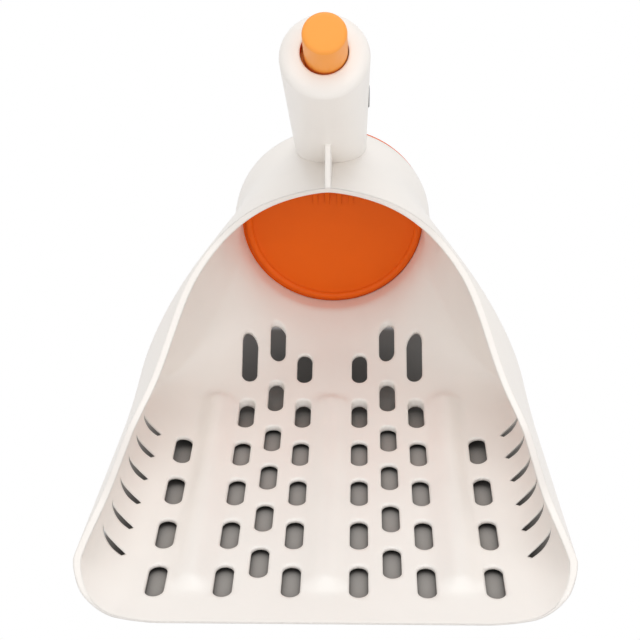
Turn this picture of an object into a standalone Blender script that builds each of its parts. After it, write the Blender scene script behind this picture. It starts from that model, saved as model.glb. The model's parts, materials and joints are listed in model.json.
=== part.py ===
"""Hand scoop: slotted pan, round rear neck closed by a sprung flap, push-button handle.

Metres, +Z up. The mouth faces -Y and the neck faces +Y.
The origin lies on the flat underside, on the plane of symmetry.
"""
import math

import bmesh
import bpy
import numpy as np
from mathutils import Matrix, Vector

# Fits
GAP = 0.0003
PIN_CLEARANCE = 0.0002
SLIDE_CLEARANCE = 0.0003
CUT_OVERRUN = 0.050
CUT_MARGIN = 0.004
SINK = 0.0005
SMALL_SINK = 0.0002
TURNED_CAP_RADIUS = 0.003

# Pan shell
WALL = 0.0024
FLOOR_FRONT_Y = -0.0555
EDGE_THICKNESS = 0.0005
EDGE_TAPER_Y = -0.0423
UNDERSIDE = (0.0485, 0.037, math.radians(27.0))
FLOOR_TOP = (0.0305, 0.112, math.radians(29.0))
FRONT_HALF_WIDTH = 0.0735
SIDE_TAPER = 0.06
FRONT_CORNER_WIDTH = 0.0137
CORNER_GROWTH = 0.22
BULGE_HEIGHT = 0.0137
FRONT_SQUARENESS = 1.22
HOOD_SQUARENESS = 1.70
WIDTH_BLEND_Y = (0.0480, 0.0926)
HEIGHT_BLEND_Y = (0.0585, 0.0988)
SHAPE_BLEND_Y = (0.0185, 0.0710)
STATION_Y = (-0.058, FLOOR_FRONT_Y, -0.0511, -0.0467, EDGE_TAPER_Y, -0.026, -0.013, 0.004, 0.017, 0.027,
             0.0336, 0.040, UNDERSIDE[0], 0.053, 0.0556, 0.0595, 0.064, 0.068, 0.072, 0.0751, 0.0795, 0.0831,
             0.0892, 0.0925, 0.0965, 0.1025)
HALF_STEPS = 27
OUTLINE_SAMPLES = 160
TURN_WEIGHT = 1.4

# Neck
NECK_RADIUS = 0.0357
NECK_AXIS_Z = 0.0554
NECK_REAR_Y = STATION_Y[-1]
NECK_TOP_Z = NECK_AXIS_Z + NECK_RADIUS
BORE_RADIUS = NECK_RADIUS - WALL
MID_WALL_RADIUS = NECK_RADIUS - WALL / 2

# Mouth, as its edge runs in side view: nose, front corner, side wall, hood and lip
SIDE_WALL_Z = 0.0252
NOSE_LENGTH = 0.0024
NOSE_PLAN = ((0.046, 0.0), (0.0505, 0.12), (0.0555, 0.50), (0.0600, 1.08))
NOSE_LIFT = 0.0002
FRONT_CURVE = ((FLOOR_FRONT_Y + NOSE_LENGTH, WALL + 2 * NOSE_LIFT), (-0.0405, 0.0128),
               (-0.0370, SIDE_WALL_Z), (-0.0185, SIDE_WALL_Z))
HOOD_BACK_Y = 0.0570
HOOD_CURVE = ((0.0055, SIDE_WALL_Z), (0.0195, SIDE_WALL_Z),
              (HOOD_BACK_Y, NECK_TOP_Z - 0.0347), (HOOD_BACK_Y, NECK_TOP_Z - 0.0187))
LIP_CURVE = (HOOD_CURVE[-1], (HOOD_BACK_Y, NECK_TOP_Z - 0.0107),
             (0.0545, NECK_TOP_Z - 0.0057), (0.0465, NECK_TOP_Z + 0.0023))
CURVE_STEPS = 9

# Sieve slots and side slits
SLOT_WIDTH = 0.0060
SLOT_LENGTH = 0.0143
SLOT_PITCH = 0.0220
SLOT_FIRST_Y = -0.0445
SLOT_STAGGER = 0.00856
SLOT_COLUMNS = ((0.010, 0.0, 6, 0.0120), (0.020, SLOT_STAGGER, 6, 0.0118),
                (0.030, 0.0, 6, SLOT_LENGTH), (0.050, 0.0, 4, SLOT_LENGTH))
FLAT_ROWS = 5
SLOT_CUT_LOW = -0.010
SLOT_CUT_TOP = 0.012
RAMP_CUT_TOP = 0.045
SLIT_WIDTH = 0.0062
SLIT_COUNT = 6
SLIT_FIRST_Y = -0.0259
SLIT_PITCH = 0.0129
SLIT_INNER_X = 0.0620
SLIT_CONVERGE = 0.0004
SLIT_RUN = (0.0078, 0.0150)
SLIT_SHRINK = 0.035
SLIT_BOW = 1.8
SLIT_TAPER = 0.8
SLIT_BLUNT = 0.5
SLIT_WIDEST = 0.3
SLIT_TIP = (0.0018, 0.0010)
SLIT_LEAN = 1.35
SLIT_SPREAD = 0.27
SLIT_LEVEL_Z = 0.003
SLIT_CUT_Z = (-0.010, 0.0205)
SLIT_STEPS = 5

# Floor ridges
RIDGE_X = (-0.040, 0.0, 0.040)
RIDGE_HALF_WIDTH = 0.00525
RIDGE_HEIGHT = 0.0015
RIDGE_Y = (-0.0435, 0.0495)
RIDGE_RINGS = (1.0, 0.75, 0.45, 0.15)

# Handle tube, measured along its axis from the point where the axis meets the top of the neck
HANDLE_FOOT = Vector((0.0, NECK_REAR_Y - 0.013, NECK_TOP_Z))
HANDLE_TILT = math.radians(49.0)
HANDLE_RADIUS = 0.01245
HANDLE_TOP_RADIUS = 0.0135
HANDLE_BORE_RADIUS = 0.0103
HANDLE_LENGTH = 0.0761
HANDLE_END_WALL = 0.004
HANDLE_END_ROUND = 0.006
HANDLE_END_RISE = 0.0040
HANDLE_HOLE_RADIUS = 0.0072
HANDLE_HOLE_DIP = 0.0001
HANDLE_LOW = -0.022
NOTCH_Y = NECK_REAR_Y - 0.0055

# Gusset rib between the neck and the handle
RIB_THICKNESS = 0.0020
RIB_FRONT_Y = 0.0515
RIB_TOP = 0.0122

# Spigot on the neck that carries the handle
SPIGOT_RADIUS = HANDLE_BORE_RADIUS - GAP
SPIGOT_BORE_RADIUS = 0.0070
SPIGOT_TOP = 0.036

# Plunger
BUTTON_RADIUS = HANDLE_HOLE_RADIUS - 0.0007
BUTTON_SIDE_PLAY = 0.0004
BUTTON_TOP = 0.0894
BUTTON_EDGE = 0.0009
BUTTON_FLANGE_RADIUS = HANDLE_BORE_RADIUS - BUTTON_SIDE_PLAY - GAP
BUTTON_FLANGE_THICKNESS = 0.0025
BUTTON_SOCKET_DEPTH = 0.010
ROD_RADIUS = 0.0030
BUSH_FLANGE_RADIUS = HANDLE_BORE_RADIUS - GAP
BUSH_FLANGE_THICKNESS = 0.0020
BUSH_DEPTH = 0.006
BUTTON_TRAVEL = 0.0128

# Return spring
SPRING_WIRE = 0.0009
SPRING_MEAN_RADIUS = 0.0060
SPRING_TURNS = 8
CURL_STEPS = 10
WIRE_SIDES = 6

# Grip pad and handle screws
PAD_LENGTH = (0.0170, 0.0438)
PAD_HALF_ANGLE = math.radians(69.0)
PAD_PROUD = 0.0018
PAD_RECESS_RADIUS = 0.0120
PAD_CORNER = 0.007
PAD_EDGE = 0.0007
PAD_ARC_STEPS = 16
PAD_END_STEPS = 5
SCREW_AT = (0.0225, 0.0315)
SCREW_HEAD_RADIUS = 0.0026
SCREW_HEAD_THICKNESS = 0.0009
SCREW_SHANK_RADIUS = 0.00125
SCREW_TIP_RADIUS = 0.0074
SCREW_POINT = 0.0008
SCREW_EDGE = (0.0004, 0.0002)
SCREW_HOLE_OVERRUN = 0.002

# Flap hinge
HINGE = Vector((0.0, NECK_REAR_Y + 0.005, NECK_TOP_Z + 0.0014))
PIN_RADIUS = 0.0015
BARREL_RADIUS = 0.0030
LUG_X = (0.0090, 0.0120)
LUG_FOOT_Y = NECK_REAR_Y - 0.0048
BARREL_X = (0.0042, 0.0083)
SLOT_HALF_WIDTH = 0.0042
LEVER_SLOT_FRONT_Y = NECK_REAR_Y - 0.0182
LEVER_SLOT_RISE = 0.0006
OPEN_ANGLE = math.radians(56.0)
HINGE_ROOM = 0.0052

# Flap
FLAP_SIDE_PLAY = 0.0004
LID_RADIUS = NECK_RADIUS - 0.0010
LID_THICKNESS = 0.0020
LID_RIM_WIDTH = 0.0020
LID_RIM_HEIGHT = 0.0013
BEAD_RADII = (BORE_RADIUS - 0.0033, BORE_RADIUS - 0.0007)
BEAD_HEIGHT = 0.0012
LEVER_RADIUS = BUTTON_TRAVEL / (2.0 * math.sin(OPEN_ANGLE / 2))
KNOB_RADIUS = 0.0020
KNOB_HALF_LENGTH = 0.0032
RIB_X = (-0.0065, -0.0022, 0.0022, 0.0065)
RIB_WIDTH = 0.0015
RIB_LOW_Z = NECK_AXIS_Z + 0.006
RIB_REACH = 0.0042
RIB_FOOT = 0.0008
RIB_KNEE = (0.006, 0.012)
RIB_TOP_ROOM = 0.0008
WEB_DEPTH = 0.005
WEB_SLOPE = 0.001

# Flap spring
TORSION_WIRE = 0.0008
TORSION_MEAN_RADIUS = 0.00245
TORSION_HALF_SPAN = 0.0028
TORSION_TURNS = 4
TORSION_LID_Z = HINGE.z - 0.0121
TORSION_NECK_X = -0.0058
TORSION_NECK_Y = NECK_REAR_Y - 0.0038

ROUND_STEPS = 40
BIG_STEPS = 64


def smooth(value, span):
    """Ease from 0 to 1 across a span."""
    t = min(max((value - span[0]) / (span[1] - span[0]), 0.0), 1.0)
    return t * t * (3.0 - 2.0 * t)


def mix(a, b, t):
    return a * (1.0 - t) + b * t


# Pan section
def floor_rise(y, curve):
    """Height that a floor curve (start, radius, steepest angle) has gained at a station."""
    start, radius, steepest = curve
    run = max(y - start, 0.0)
    arc_run = radius * math.sin(steepest)
    if run < arc_run:
        return radius - math.sqrt(radius ** 2 - run ** 2)
    arc_rise = radius * (1.0 - math.cos(steepest))
    return min(arc_rise + (run - arc_run) * math.tan(steepest), NECK_AXIS_Z - NECK_RADIUS)


def half_section(y, inset):
    """Half outline of the pan at one station, from the middle of the floor over to the crown."""
    to_neck = smooth(y, WIDTH_BLEND_Y)
    rise = floor_rise(y, UNDERSIDE if inset < WALL else FLOOR_TOP)
    side = FRONT_HALF_WIDTH - SIDE_TAPER * (y - FLOOR_FRONT_Y)
    width = mix(side, NECK_RADIUS, to_neck) - inset
    bulge = mix(BULGE_HEIGHT, NECK_AXIS_Z, smooth(y, HEIGHT_BLEND_Y))
    broad = FRONT_CORNER_WIDTH + CORNER_GROWTH * (y - FLOOR_FRONT_Y)
    corner = mix(broad, NECK_RADIUS, rise / (NECK_AXIS_Z - NECK_RADIUS)) - inset
    hood = mix(FRONT_SQUARENESS, HOOD_SQUARENESS, smooth(y, SHAPE_BLEND_Y))
    power = 2.0 / mix(hood, 2.0, to_neck)
    low = rise + inset
    top = NECK_TOP_Z - inset
    corner = min(corner, width)
    flat = width - corner
    angle = np.linspace(0.0, math.pi / 2, OUTLINE_SAMPLES)
    floor = np.column_stack((np.linspace(0.0, flat, OUTLINE_SAMPLES), np.full(OUTLINE_SAMPLES, low)))
    turn = np.column_stack((flat + corner * np.sin(angle), bulge - (bulge - low) * np.cos(angle)))
    cosine = np.clip(np.cos(angle), 0.0, 1.0)
    upper = np.column_stack((width * cosine ** power, bulge + (top - bulge) * np.sin(angle) ** power))
    return np.vstack((floor, turn, upper))


def resampled(points, steps):
    """Spread points along an outline by both its length and its turning."""
    keep = np.r_[True, np.linalg.norm(np.diff(points, axis=0), axis=1) > 1e-6]
    points = points[keep]
    edge = np.diff(points, axis=0)
    length = np.linalg.norm(edge, axis=1)
    heading = np.unwrap(np.arctan2(edge[:, 1], edge[:, 0]))
    turning = np.abs(np.diff(heading, prepend=heading[0]))
    measure = length / length.sum() + TURN_WEIGHT * turning / turning.sum()
    along = np.r_[0.0, np.cumsum(measure)]
    wanted = np.linspace(0.0, along[-1], steps + 1)
    return np.column_stack((np.interp(wanted, along, points[:, 0]), np.interp(wanted, along, points[:, 1])))


def edge_inset(y):
    """How far the outside is drawn in to thin the floor towards its front edge."""
    share = min(max((y - FLOOR_FRONT_Y) / (EDGE_TAPER_Y - FLOOR_FRONT_Y), 0.0), 1.0)
    return (WALL - EDGE_THICKNESS) * (1.0 - share)


def pan_ring(y, inset):
    half = resampled(half_section(y, inset), HALF_STEPS)
    right = [(x, y, z) for x, z in half]
    left = [(-x, y, z) for x, z in half[-2:0:-1]]
    right[0] = (0.0, y, half[0][1])
    right[-1] = (0.0, y, half[-1][1])
    return right + left


# Mesh helpers
def circle(radius, height, steps):
    """A ring that starts half a step round, so no corner lies on the plane of symmetry."""
    turns = [2.0 * math.pi * (k + 0.5) / steps for k in range(steps)]
    return [(radius * math.cos(t), radius * math.sin(t), height) for t in turns]


def arc(centre, radius, start, end, steps):
    turns = [math.radians(mix(start, end, k / steps)) for k in range(steps + 1)]
    return [(centre[0] + radius * math.cos(t), centre[1] + radius * math.sin(t)) for t in turns]


def add_loft(bm, rings, wrap=False):
    """Skin closed rings; the ends are capped unless the rings wrap round."""
    loops = [[bm.verts.new(point) for point in ring] for ring in rings]
    pairs = list(zip(loops, loops[1:]))
    if wrap:
        pairs.append((loops[-1], loops[0]))
    else:
        bm.faces.new(loops[0])
        bm.faces.new(loops[-1])
    for low, high in pairs:
        for i in range(len(low)):
            j = (i + 1) % len(low)
            bm.faces.new((low[i], low[j], high[j], high[i]))


def add_prism(bm, outline, x_low, x_high):
    """Extrude a (y, z) outline along X."""
    add_loft(bm, [[(x, y, z) for y, z in outline] for x in (x_low, x_high)])


def add_upright(bm, outline, z_low, z_high):
    """Extrude an (x, y) outline along Z."""
    add_loft(bm, [[(x, y, z) for x, y in outline] for z in (z_low, z_high)])


def finished(name, bm, frame=Matrix()):
    bmesh.ops.recalc_face_normals(bm, faces=bm.faces)
    mesh = bpy.data.meshes.new(name)
    bm.to_mesh(mesh)
    bm.free()
    obj = bpy.data.objects.new(name, mesh)
    bpy.context.scene.collection.objects.link(obj)
    obj.matrix_world = frame
    return obj


def turned(name, profile, frame=Matrix(), hollow=False, steps=ROUND_STEPS, lay=Matrix()):
    """Turn a (radius, height) profile about Z, then lay it along another axis."""
    bm = bmesh.new()
    add_loft(bm, [circle(radius, height, steps) for radius, height in profile], wrap=hollow)
    bm.transform(lay)
    return finished(name, bm, frame)


def boxed(name, low, high, frame=Matrix()):
    bm = bmesh.new()
    add_prism(bm, [(low[1], low[2]), (high[1], low[2]), (high[1], high[2]), (low[1], high[2])], low[0], high[0])
    return finished(name, bm, frame)


def swept(name, points, radius, frame):
    """One unbroken round tube along a path."""
    path = [Vector(p) for p in points]
    normal = None
    rings = []
    for i, point in enumerate(path):
        ahead = path[min(i + 1, len(path) - 1)]
        behind = path[max(i - 1, 0)]
        tangent = (ahead - behind).normalized()
        if normal is None:
            normal = tangent.orthogonal()
        normal = (normal - tangent * normal.dot(tangent)).normalized()
        side = tangent.cross(normal)
        turns = [2.0 * math.pi * k / WIRE_SIDES for k in range(WIRE_SIDES)]
        rings.append([point + normal * radius * math.cos(t) + side * radius * math.sin(t) for t in turns])
    bm = bmesh.new()
    add_loft(bm, rings)
    return finished(name, bm, frame)


def boolean(target, tool, operation):
    modifier = target.modifiers.new(tool.name, "BOOLEAN")
    modifier.operation = operation
    modifier.object = tool
    modifier.solver = "EXACT"
    tool.hide_render = True
    tool.display_type = "WIRE"


def join(target, tool):
    boolean(target, tool, "UNION")


def cut(target, tool):
    boolean(target, tool, "DIFFERENCE")


def painted(obj, colour, roughness, metallic=0.0):
    material = bpy.data.materials.new(obj.name)
    material.use_nodes = True
    shader = material.node_tree.nodes["Principled BSDF"]
    shader.inputs["Base Color"].default_value = (*colour, 1.0)
    shader.inputs["Roughness"].default_value = roughness
    shader.inputs["Metallic"].default_value = metallic
    obj.data.materials.append(material)


def least_self_gap(points, wire):
    """Smallest clear distance between two turns of a wire."""
    path = np.array([tuple(p) for p in points])
    step = np.linalg.norm(np.diff(path, axis=0), axis=1)
    along = np.r_[0.0, np.cumsum(step)]
    apart = np.linalg.norm(path[:, None] - path[None], axis=2)
    far = np.abs(along[:, None] - along[None]) > 4.0 * wire
    return float(apart[far].min() - wire)


ALONG_X = Matrix.Rotation(math.pi / 2, 4, "Y")
ALONG_Y = Matrix.Rotation(-math.pi / 2, 4, "X")
HANDLE_FRAME = Matrix.Translation(HANDLE_FOOT) @ Matrix.Rotation(HANDLE_TILT, 4, "X")
FLAP_FRAME = Matrix.Translation(HINGE)
NECK_LAY = Matrix.Translation((0.0, 0.0, NECK_AXIS_Z)) @ ALONG_Y


def neck_rod(name, radius):
    """A long rod on the neck's axis whose flats stay outside the given radius."""
    reach = radius / math.cos(math.pi / BIG_STEPS)
    return turned(name, [(reach, 0.0), (reach, NECK_REAR_Y + CUT_OVERRUN)], steps=BIG_STEPS, lay=NECK_LAY)


# Pan pieces
def bezier(ends, steps):
    """Points along a cubic curve given by its four control points."""
    points = []
    for k in range(steps + 1):
        t = k / steps
        weights = ((1 - t) ** 3, 3 * t * (1 - t) ** 2, 3 * t * t * (1 - t), t ** 3)
        points.append(tuple(sum(w * p[axis] for w, p in zip(weights, ends)) for axis in (0, 1)))
    return points


def rim_cutter():
    """Takes away all that lies ahead of the mouth's edge."""
    far_y = STATION_Y[0] - CUT_OVERRUN
    edge = bezier(FRONT_CURVE, CURVE_STEPS) + bezier(HOOD_CURVE, CURVE_STEPS)
    edge += bezier(LIP_CURVE, CURVE_STEPS)[1:]
    reach = FRONT_HALF_WIDTH + CUT_OVERRUN
    half = [*NOSE_PLAN, (reach, NOSE_PLAN[-1][1])]
    rings = []
    for x, share in [(-x, share) for x, share in reversed(half)] + half:
        nose_y = FLOOR_FRONT_Y + NOSE_LENGTH * share
        nose = [(far_y, -CUT_OVERRUN), (nose_y, -CUT_OVERRUN), (nose_y, WALL + NOSE_LIFT)]
        rings.append([(x, y, z) for y, z in nose + edge + [(far_y, edge[-1][1])]])
    bm = bmesh.new()
    add_loft(bm, rings)
    return finished("rim_cutter", bm)


def stadium(x, y_near, y_far, half_width, steps=6):
    far = arc((x, y_far - half_width), half_width, 0.0, 180.0, steps)
    near = arc((x, y_near + half_width), half_width, 180.0, 360.0, steps)
    return far + near


def slit_outline(start, scale):
    """A crescent that climbs the side wall and runs out to a point at each end."""
    run_x = scale * SLIT_RUN[0]
    run_y = scale * SLIT_RUN[1]
    near, far = [], []
    for k in range(SLIT_STEPS):
        share = k / SLIT_STEPS
        x = start[0] + run_x * (1.0 - (1.0 - share) ** SLIT_BOW)
        y = start[1] + run_y * share
        swell = min(1.0, SLIT_BLUNT + (1.0 - SLIT_BLUNT) * share / SLIT_WIDEST)
        half = SLIT_WIDTH / 2 * swell * (1.0 - share) ** SLIT_TAPER
        near.append((x, y - half))
        far.append((x, y + half))
    low_tip = (start[0] - SLIT_TIP[0], start[1] - SLIT_TIP[1])
    high_tip = (start[0] + run_x, start[1] + run_y)
    return [low_tip] + near + [high_tip] + far[::-1]


def sieve_cutter():
    """All floor slots and side slits as one cutter."""
    bm = bmesh.new()
    for column, stagger, count, last_length in SLOT_COLUMNS:
        for side in (-1, 1):
            for k in range(count):
                near = SLOT_FIRST_Y + stagger + SLOT_PITCH * k
                length = SLOT_LENGTH if k < count - 1 else last_length
                outline = stadium(side * column, near, near + length, SLOT_WIDTH / 2)
                add_upright(bm, outline, SLOT_CUT_LOW, SLOT_CUT_TOP if k < FLAT_ROWS else RAMP_CUT_TOP)
    for side in (-1, 1):
        for k in range(SLIT_COUNT):
            start = (SLIT_INNER_X - SLIT_CONVERGE * k, SLIT_FIRST_Y + SLIT_PITCH * k)
            outline = slit_outline(start, 1.0 - SLIT_SHRINK * k)
            rings = []
            for z in SLIT_CUT_Z:
                down = SLIT_LEVEL_Z - z
                out = SLIT_SPREAD * down
                back = SLIT_LEAN * down
                rings.append([(side * (x + out), y + back, z) for x, y in outline])
            add_loft(bm, rings)
    return finished("sieve_cutter", bm)


def floor_ridges():
    bm = bmesh.new()
    half = RIDGE_HALF_WIDTH
    for x in RIDGE_X:
        near = RIDGE_Y[0] + half
        far = RIDGE_Y[1] - half
        rings = [[(*p, WALL / 2) for p in stadium(x, near - half, far + half, half)]]
        for share in RIDGE_RINGS:
            w = half * share
            z = WALL + RIDGE_HEIGHT * (1.0 - share ** 2)
            rings.append([(*p, z) for p in stadium(x, near - w, far + w, w)])
        add_loft(bm, rings)
    return finished("floor_ridges", bm)


def hinge_room(name, extra):
    """Clears the space behind the handle's foot for the hinge."""
    low = (-CUT_OVERRUN, NOTCH_Y - extra, NECK_AXIS_Z)
    high = (CUT_OVERRUN, NECK_REAR_Y + CUT_OVERRUN, HINGE.z + HINGE_ROOM + extra)
    return boxed(name, low, high)


def spigot():
    profile = [(SPIGOT_BORE_RADIUS, HANDLE_LOW), (SPIGOT_RADIUS, HANDLE_LOW),
               (SPIGOT_RADIUS, SPIGOT_TOP), (SPIGOT_BORE_RADIUS, SPIGOT_TOP)]
    tube = turned("spigot", profile, HANDLE_FRAME, hollow=True)
    cut(tube, neck_rod("spigot_foot_cutter", MID_WALL_RADIUS))
    cut(tube, hinge_room("spigot_notch_cutter", GAP))
    return tube


def hinge_lugs():
    foot_z = NECK_AXIS_Z + math.sqrt(MID_WALL_RADIUS ** 2 - LUG_X[1] ** 2)
    inset_y = NECK_REAR_Y - SINK
    round_end = arc((HINGE.y, HINGE.z), BARREL_RADIUS, -90.0, 110.0, 12)
    outline = [(LUG_FOOT_Y, foot_z), (inset_y, foot_z), (inset_y, HINGE.z - BARREL_RADIUS)]
    outline += round_end + [(LUG_FOOT_Y, NECK_TOP_Z - SINK)]
    bm = bmesh.new()
    for side in (-1, 1):
        add_prism(bm, outline, side * LUG_X[0], side * LUG_X[1])
    return finished("hinge_lugs", bm)


def on_handle(along, out):
    """A point in the plane of symmetry, from its place along and across the handle."""
    point = HANDLE_FRAME @ Vector((0.0, out, along))
    return (point.y, point.z)


def handle_radius(along):
    return mix(HANDLE_RADIUS, HANDLE_TOP_RADIUS, along / (HANDLE_LENGTH - HANDLE_END_RISE))


def gusset_rib():
    sunk = NECK_TOP_Z - WALL / 2
    low = (HANDLE_RADIUS + GAP) * math.tan(HANDLE_TILT)
    high = low + RIB_TOP / math.cos(HANDLE_TILT)
    foot, top = [on_handle(along, -handle_radius(along) - GAP) for along in (low, high)]
    slope = (top[0] - foot[0]) / (top[1] - foot[1])
    bm = bmesh.new()
    outline = [(RIB_FRONT_Y, sunk), (foot[0] - slope * WALL / 2, sunk), top, (RIB_FRONT_Y, NECK_TOP_Z)]
    add_prism(bm, outline, -RIB_THICKNESS / 2, RIB_THICKNESS / 2)
    return finished("gusset_rib", bm)


def pin_hole(name, half_length):
    radius = PIN_RADIUS + PIN_CLEARANCE
    return turned(name, [(radius, -half_length), (radius, half_length)], FLAP_FRAME, steps=16, lay=ALONG_X)


def screw_frame(along):
    """Z of this frame points out of the handle's rear."""
    return HANDLE_FRAME @ Matrix.Translation((0.0, 0.0, along)) @ ALONG_Y


def screw_holes(name, inner):
    bm = bmesh.new()
    radius = SCREW_SHANK_RADIUS + PIN_CLEARANCE
    for along in SCREW_AT:
        rings = [circle(radius, inner, 14), circle(radius, CUT_OVERRUN, 14)]
        lay = Matrix.Translation((0.0, 0.0, along)) @ ALONG_Y
        add_loft(bm, [[lay @ Vector(p) for p in ring] for ring in rings])
    return finished(name, bm, HANDLE_FRAME)


def build_pan():
    bm = bmesh.new()
    outer = [pan_ring(y, edge_inset(y)) for y in STATION_Y]
    inner = [pan_ring(y, WALL) for y in STATION_Y]
    add_loft(bm, outer + inner[::-1], wrap=True)
    pan = finished("scoop_pan", bm)
    join(pan, spigot())
    join(pan, hinge_lugs())
    join(pan, gusset_rib())
    join(pan, floor_ridges())
    slot_low = (-SLOT_HALF_WIDTH, LEVER_SLOT_FRONT_Y, NECK_TOP_Z - WALL - CUT_MARGIN)
    slot_high = (SLOT_HALF_WIDTH, NECK_REAR_Y + CUT_MARGIN, NECK_TOP_Z + LEVER_SLOT_RISE)
    cut(pan, boxed("lever_slot_cutter", slot_low, slot_high))
    cut(pan, pin_hole("lug_pin_hole", LUG_X[1] + CUT_MARGIN))
    cut(pan, screw_holes("spigot_screw_holes", SPIGOT_BORE_RADIUS - SCREW_HOLE_OVERRUN))
    cut(pan, rim_cutter())
    cut(pan, sieve_cutter())
    painted(pan, (0.80, 0.78, 0.73), 0.45)


# Handle pieces
def pad_ring(along, out, radius_low, radius_high, edge):
    """Section of a curved pad across the handle, with its outer edges eased."""
    middle = (PAD_LENGTH[0] + PAD_LENGTH[1]) / 2
    half = (PAD_LENGTH[1] - PAD_LENGTH[0]) / 2
    past = min(max(abs(along - middle) - (half - PAD_CORNER), 0.0), PAD_CORNER) / PAD_CORNER
    trim = PAD_CORNER * (1.0 - math.sqrt(max(1.0 - past ** 2, 0.0)))
    wide = PAD_HALF_ANGLE - (trim - out) / HANDLE_RADIUS
    angles = [mix(-wide, wide, k / PAD_ARC_STEPS) for k in range(PAD_ARC_STEPS + 1)]
    ring = []
    for k, angle in enumerate(angles):
        radius = radius_high - (edge if k in (0, PAD_ARC_STEPS) else 0.0)
        ring.append((radius * math.sin(angle), radius * math.cos(angle), along))
    for angle in reversed(angles):
        ring.append((radius_low * math.sin(angle), radius_low * math.cos(angle), along))
    return ring


def pad_body(name, out, radius_low, radius_high, edge):
    """The pad, or with a clearance all round the recess that takes it."""
    low, high = PAD_LENGTH
    share = [1.0 - math.cos(math.pi / 2 * k / PAD_END_STEPS) for k in range(PAD_END_STEPS + 1)]
    foot = [low + PAD_CORNER * s for s in share]
    head = [high - PAD_CORNER * s for s in reversed(share)]
    rings = [pad_ring(along, out, radius_low, radius_high, edge) for along in foot + head]
    rings[0] = [(x, y, low - out) for x, y, z in pad_ring(low, out, radius_low, radius_high - edge, edge)]
    rings[-1] = [(x, y, high + out) for x, y, z in pad_ring(high, out, radius_low, radius_high - edge, edge)]
    bm = bmesh.new()
    add_loft(bm, rings)
    return finished(name, bm, HANDLE_FRAME)


def head_seats():
    bm = bmesh.new()
    radius = SCREW_HEAD_RADIUS + PIN_CLEARANCE
    floor = PAD_RECESS_RADIUS - SCREW_HEAD_THICKNESS - GAP
    for along in SCREW_AT:
        lay = Matrix.Translation((0.0, 0.0, along)) @ ALONG_Y
        rings = [circle(radius, floor, 18), circle(radius, CUT_OVERRUN, 18)]
        add_loft(bm, [[lay @ Vector(p) for p in ring] for ring in rings])
    return finished("screw_head_seats", bm, HANDLE_FRAME)


def build_handle():
    shoulder = HANDLE_LENGTH - HANDLE_END_RISE
    round_off = arc((0.0, 0.0), 1.0, 0.0, 88.0, 8)
    shift = HANDLE_TOP_RADIUS - HANDLE_END_ROUND
    dome = [(shift + HANDLE_END_ROUND * out, shoulder + HANDLE_END_RISE * up) for out, up in round_off]
    profile = [(HANDLE_BORE_RADIUS, HANDLE_LOW), (HANDLE_RADIUS, HANDLE_LOW), (HANDLE_RADIUS, 0.0)] + dome
    profile += [(HANDLE_HOLE_RADIUS, HANDLE_LENGTH - HANDLE_HOLE_DIP),
                (HANDLE_HOLE_RADIUS, HANDLE_LENGTH - HANDLE_END_WALL),
                (HANDLE_BORE_RADIUS, HANDLE_LENGTH - HANDLE_END_WALL)]
    handle = turned("handle", profile, HANDLE_FRAME, hollow=True)
    cut(handle, neck_rod("handle_foot_cutter", NECK_RADIUS + GAP))
    cut(handle, hinge_room("handle_notch_cutter", 0.0))
    cut(handle, pad_body("pad_recess_cutter", GAP, PAD_RECESS_RADIUS, HANDLE_RADIUS + CUT_MARGIN, 0.0))
    cut(handle, head_seats())
    cut(handle, screw_holes("handle_screw_holes", HANDLE_BORE_RADIUS - SCREW_HOLE_OVERRUN))
    painted(handle, (0.80, 0.78, 0.73), 0.45)
    pad = pad_body("grip_pad", 0.0, PAD_RECESS_RADIUS + GAP, HANDLE_RADIUS + PAD_PROUD, PAD_EDGE)
    painted(pad, (0.22, 0.22, 0.22), 0.7)


def build_screws():
    seat = PAD_RECESS_RADIUS - SCREW_HEAD_THICKNESS
    profile = [(SCREW_SHANK_RADIUS / 2, SCREW_TIP_RADIUS), (SCREW_SHANK_RADIUS, SCREW_TIP_RADIUS + SCREW_POINT),
               (SCREW_SHANK_RADIUS, seat), (SCREW_HEAD_RADIUS, seat),
               (SCREW_HEAD_RADIUS, PAD_RECESS_RADIUS - SCREW_EDGE[1]),
               (SCREW_HEAD_RADIUS - SCREW_EDGE[0], PAD_RECESS_RADIUS)]
    for along, place in zip(SCREW_AT, ("lower", "upper")):
        screw = turned("handle_screw_" + place, profile, screw_frame(along), steps=18)
        painted(screw, (0.62, 0.62, 0.64), 0.35, 1.0)


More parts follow.
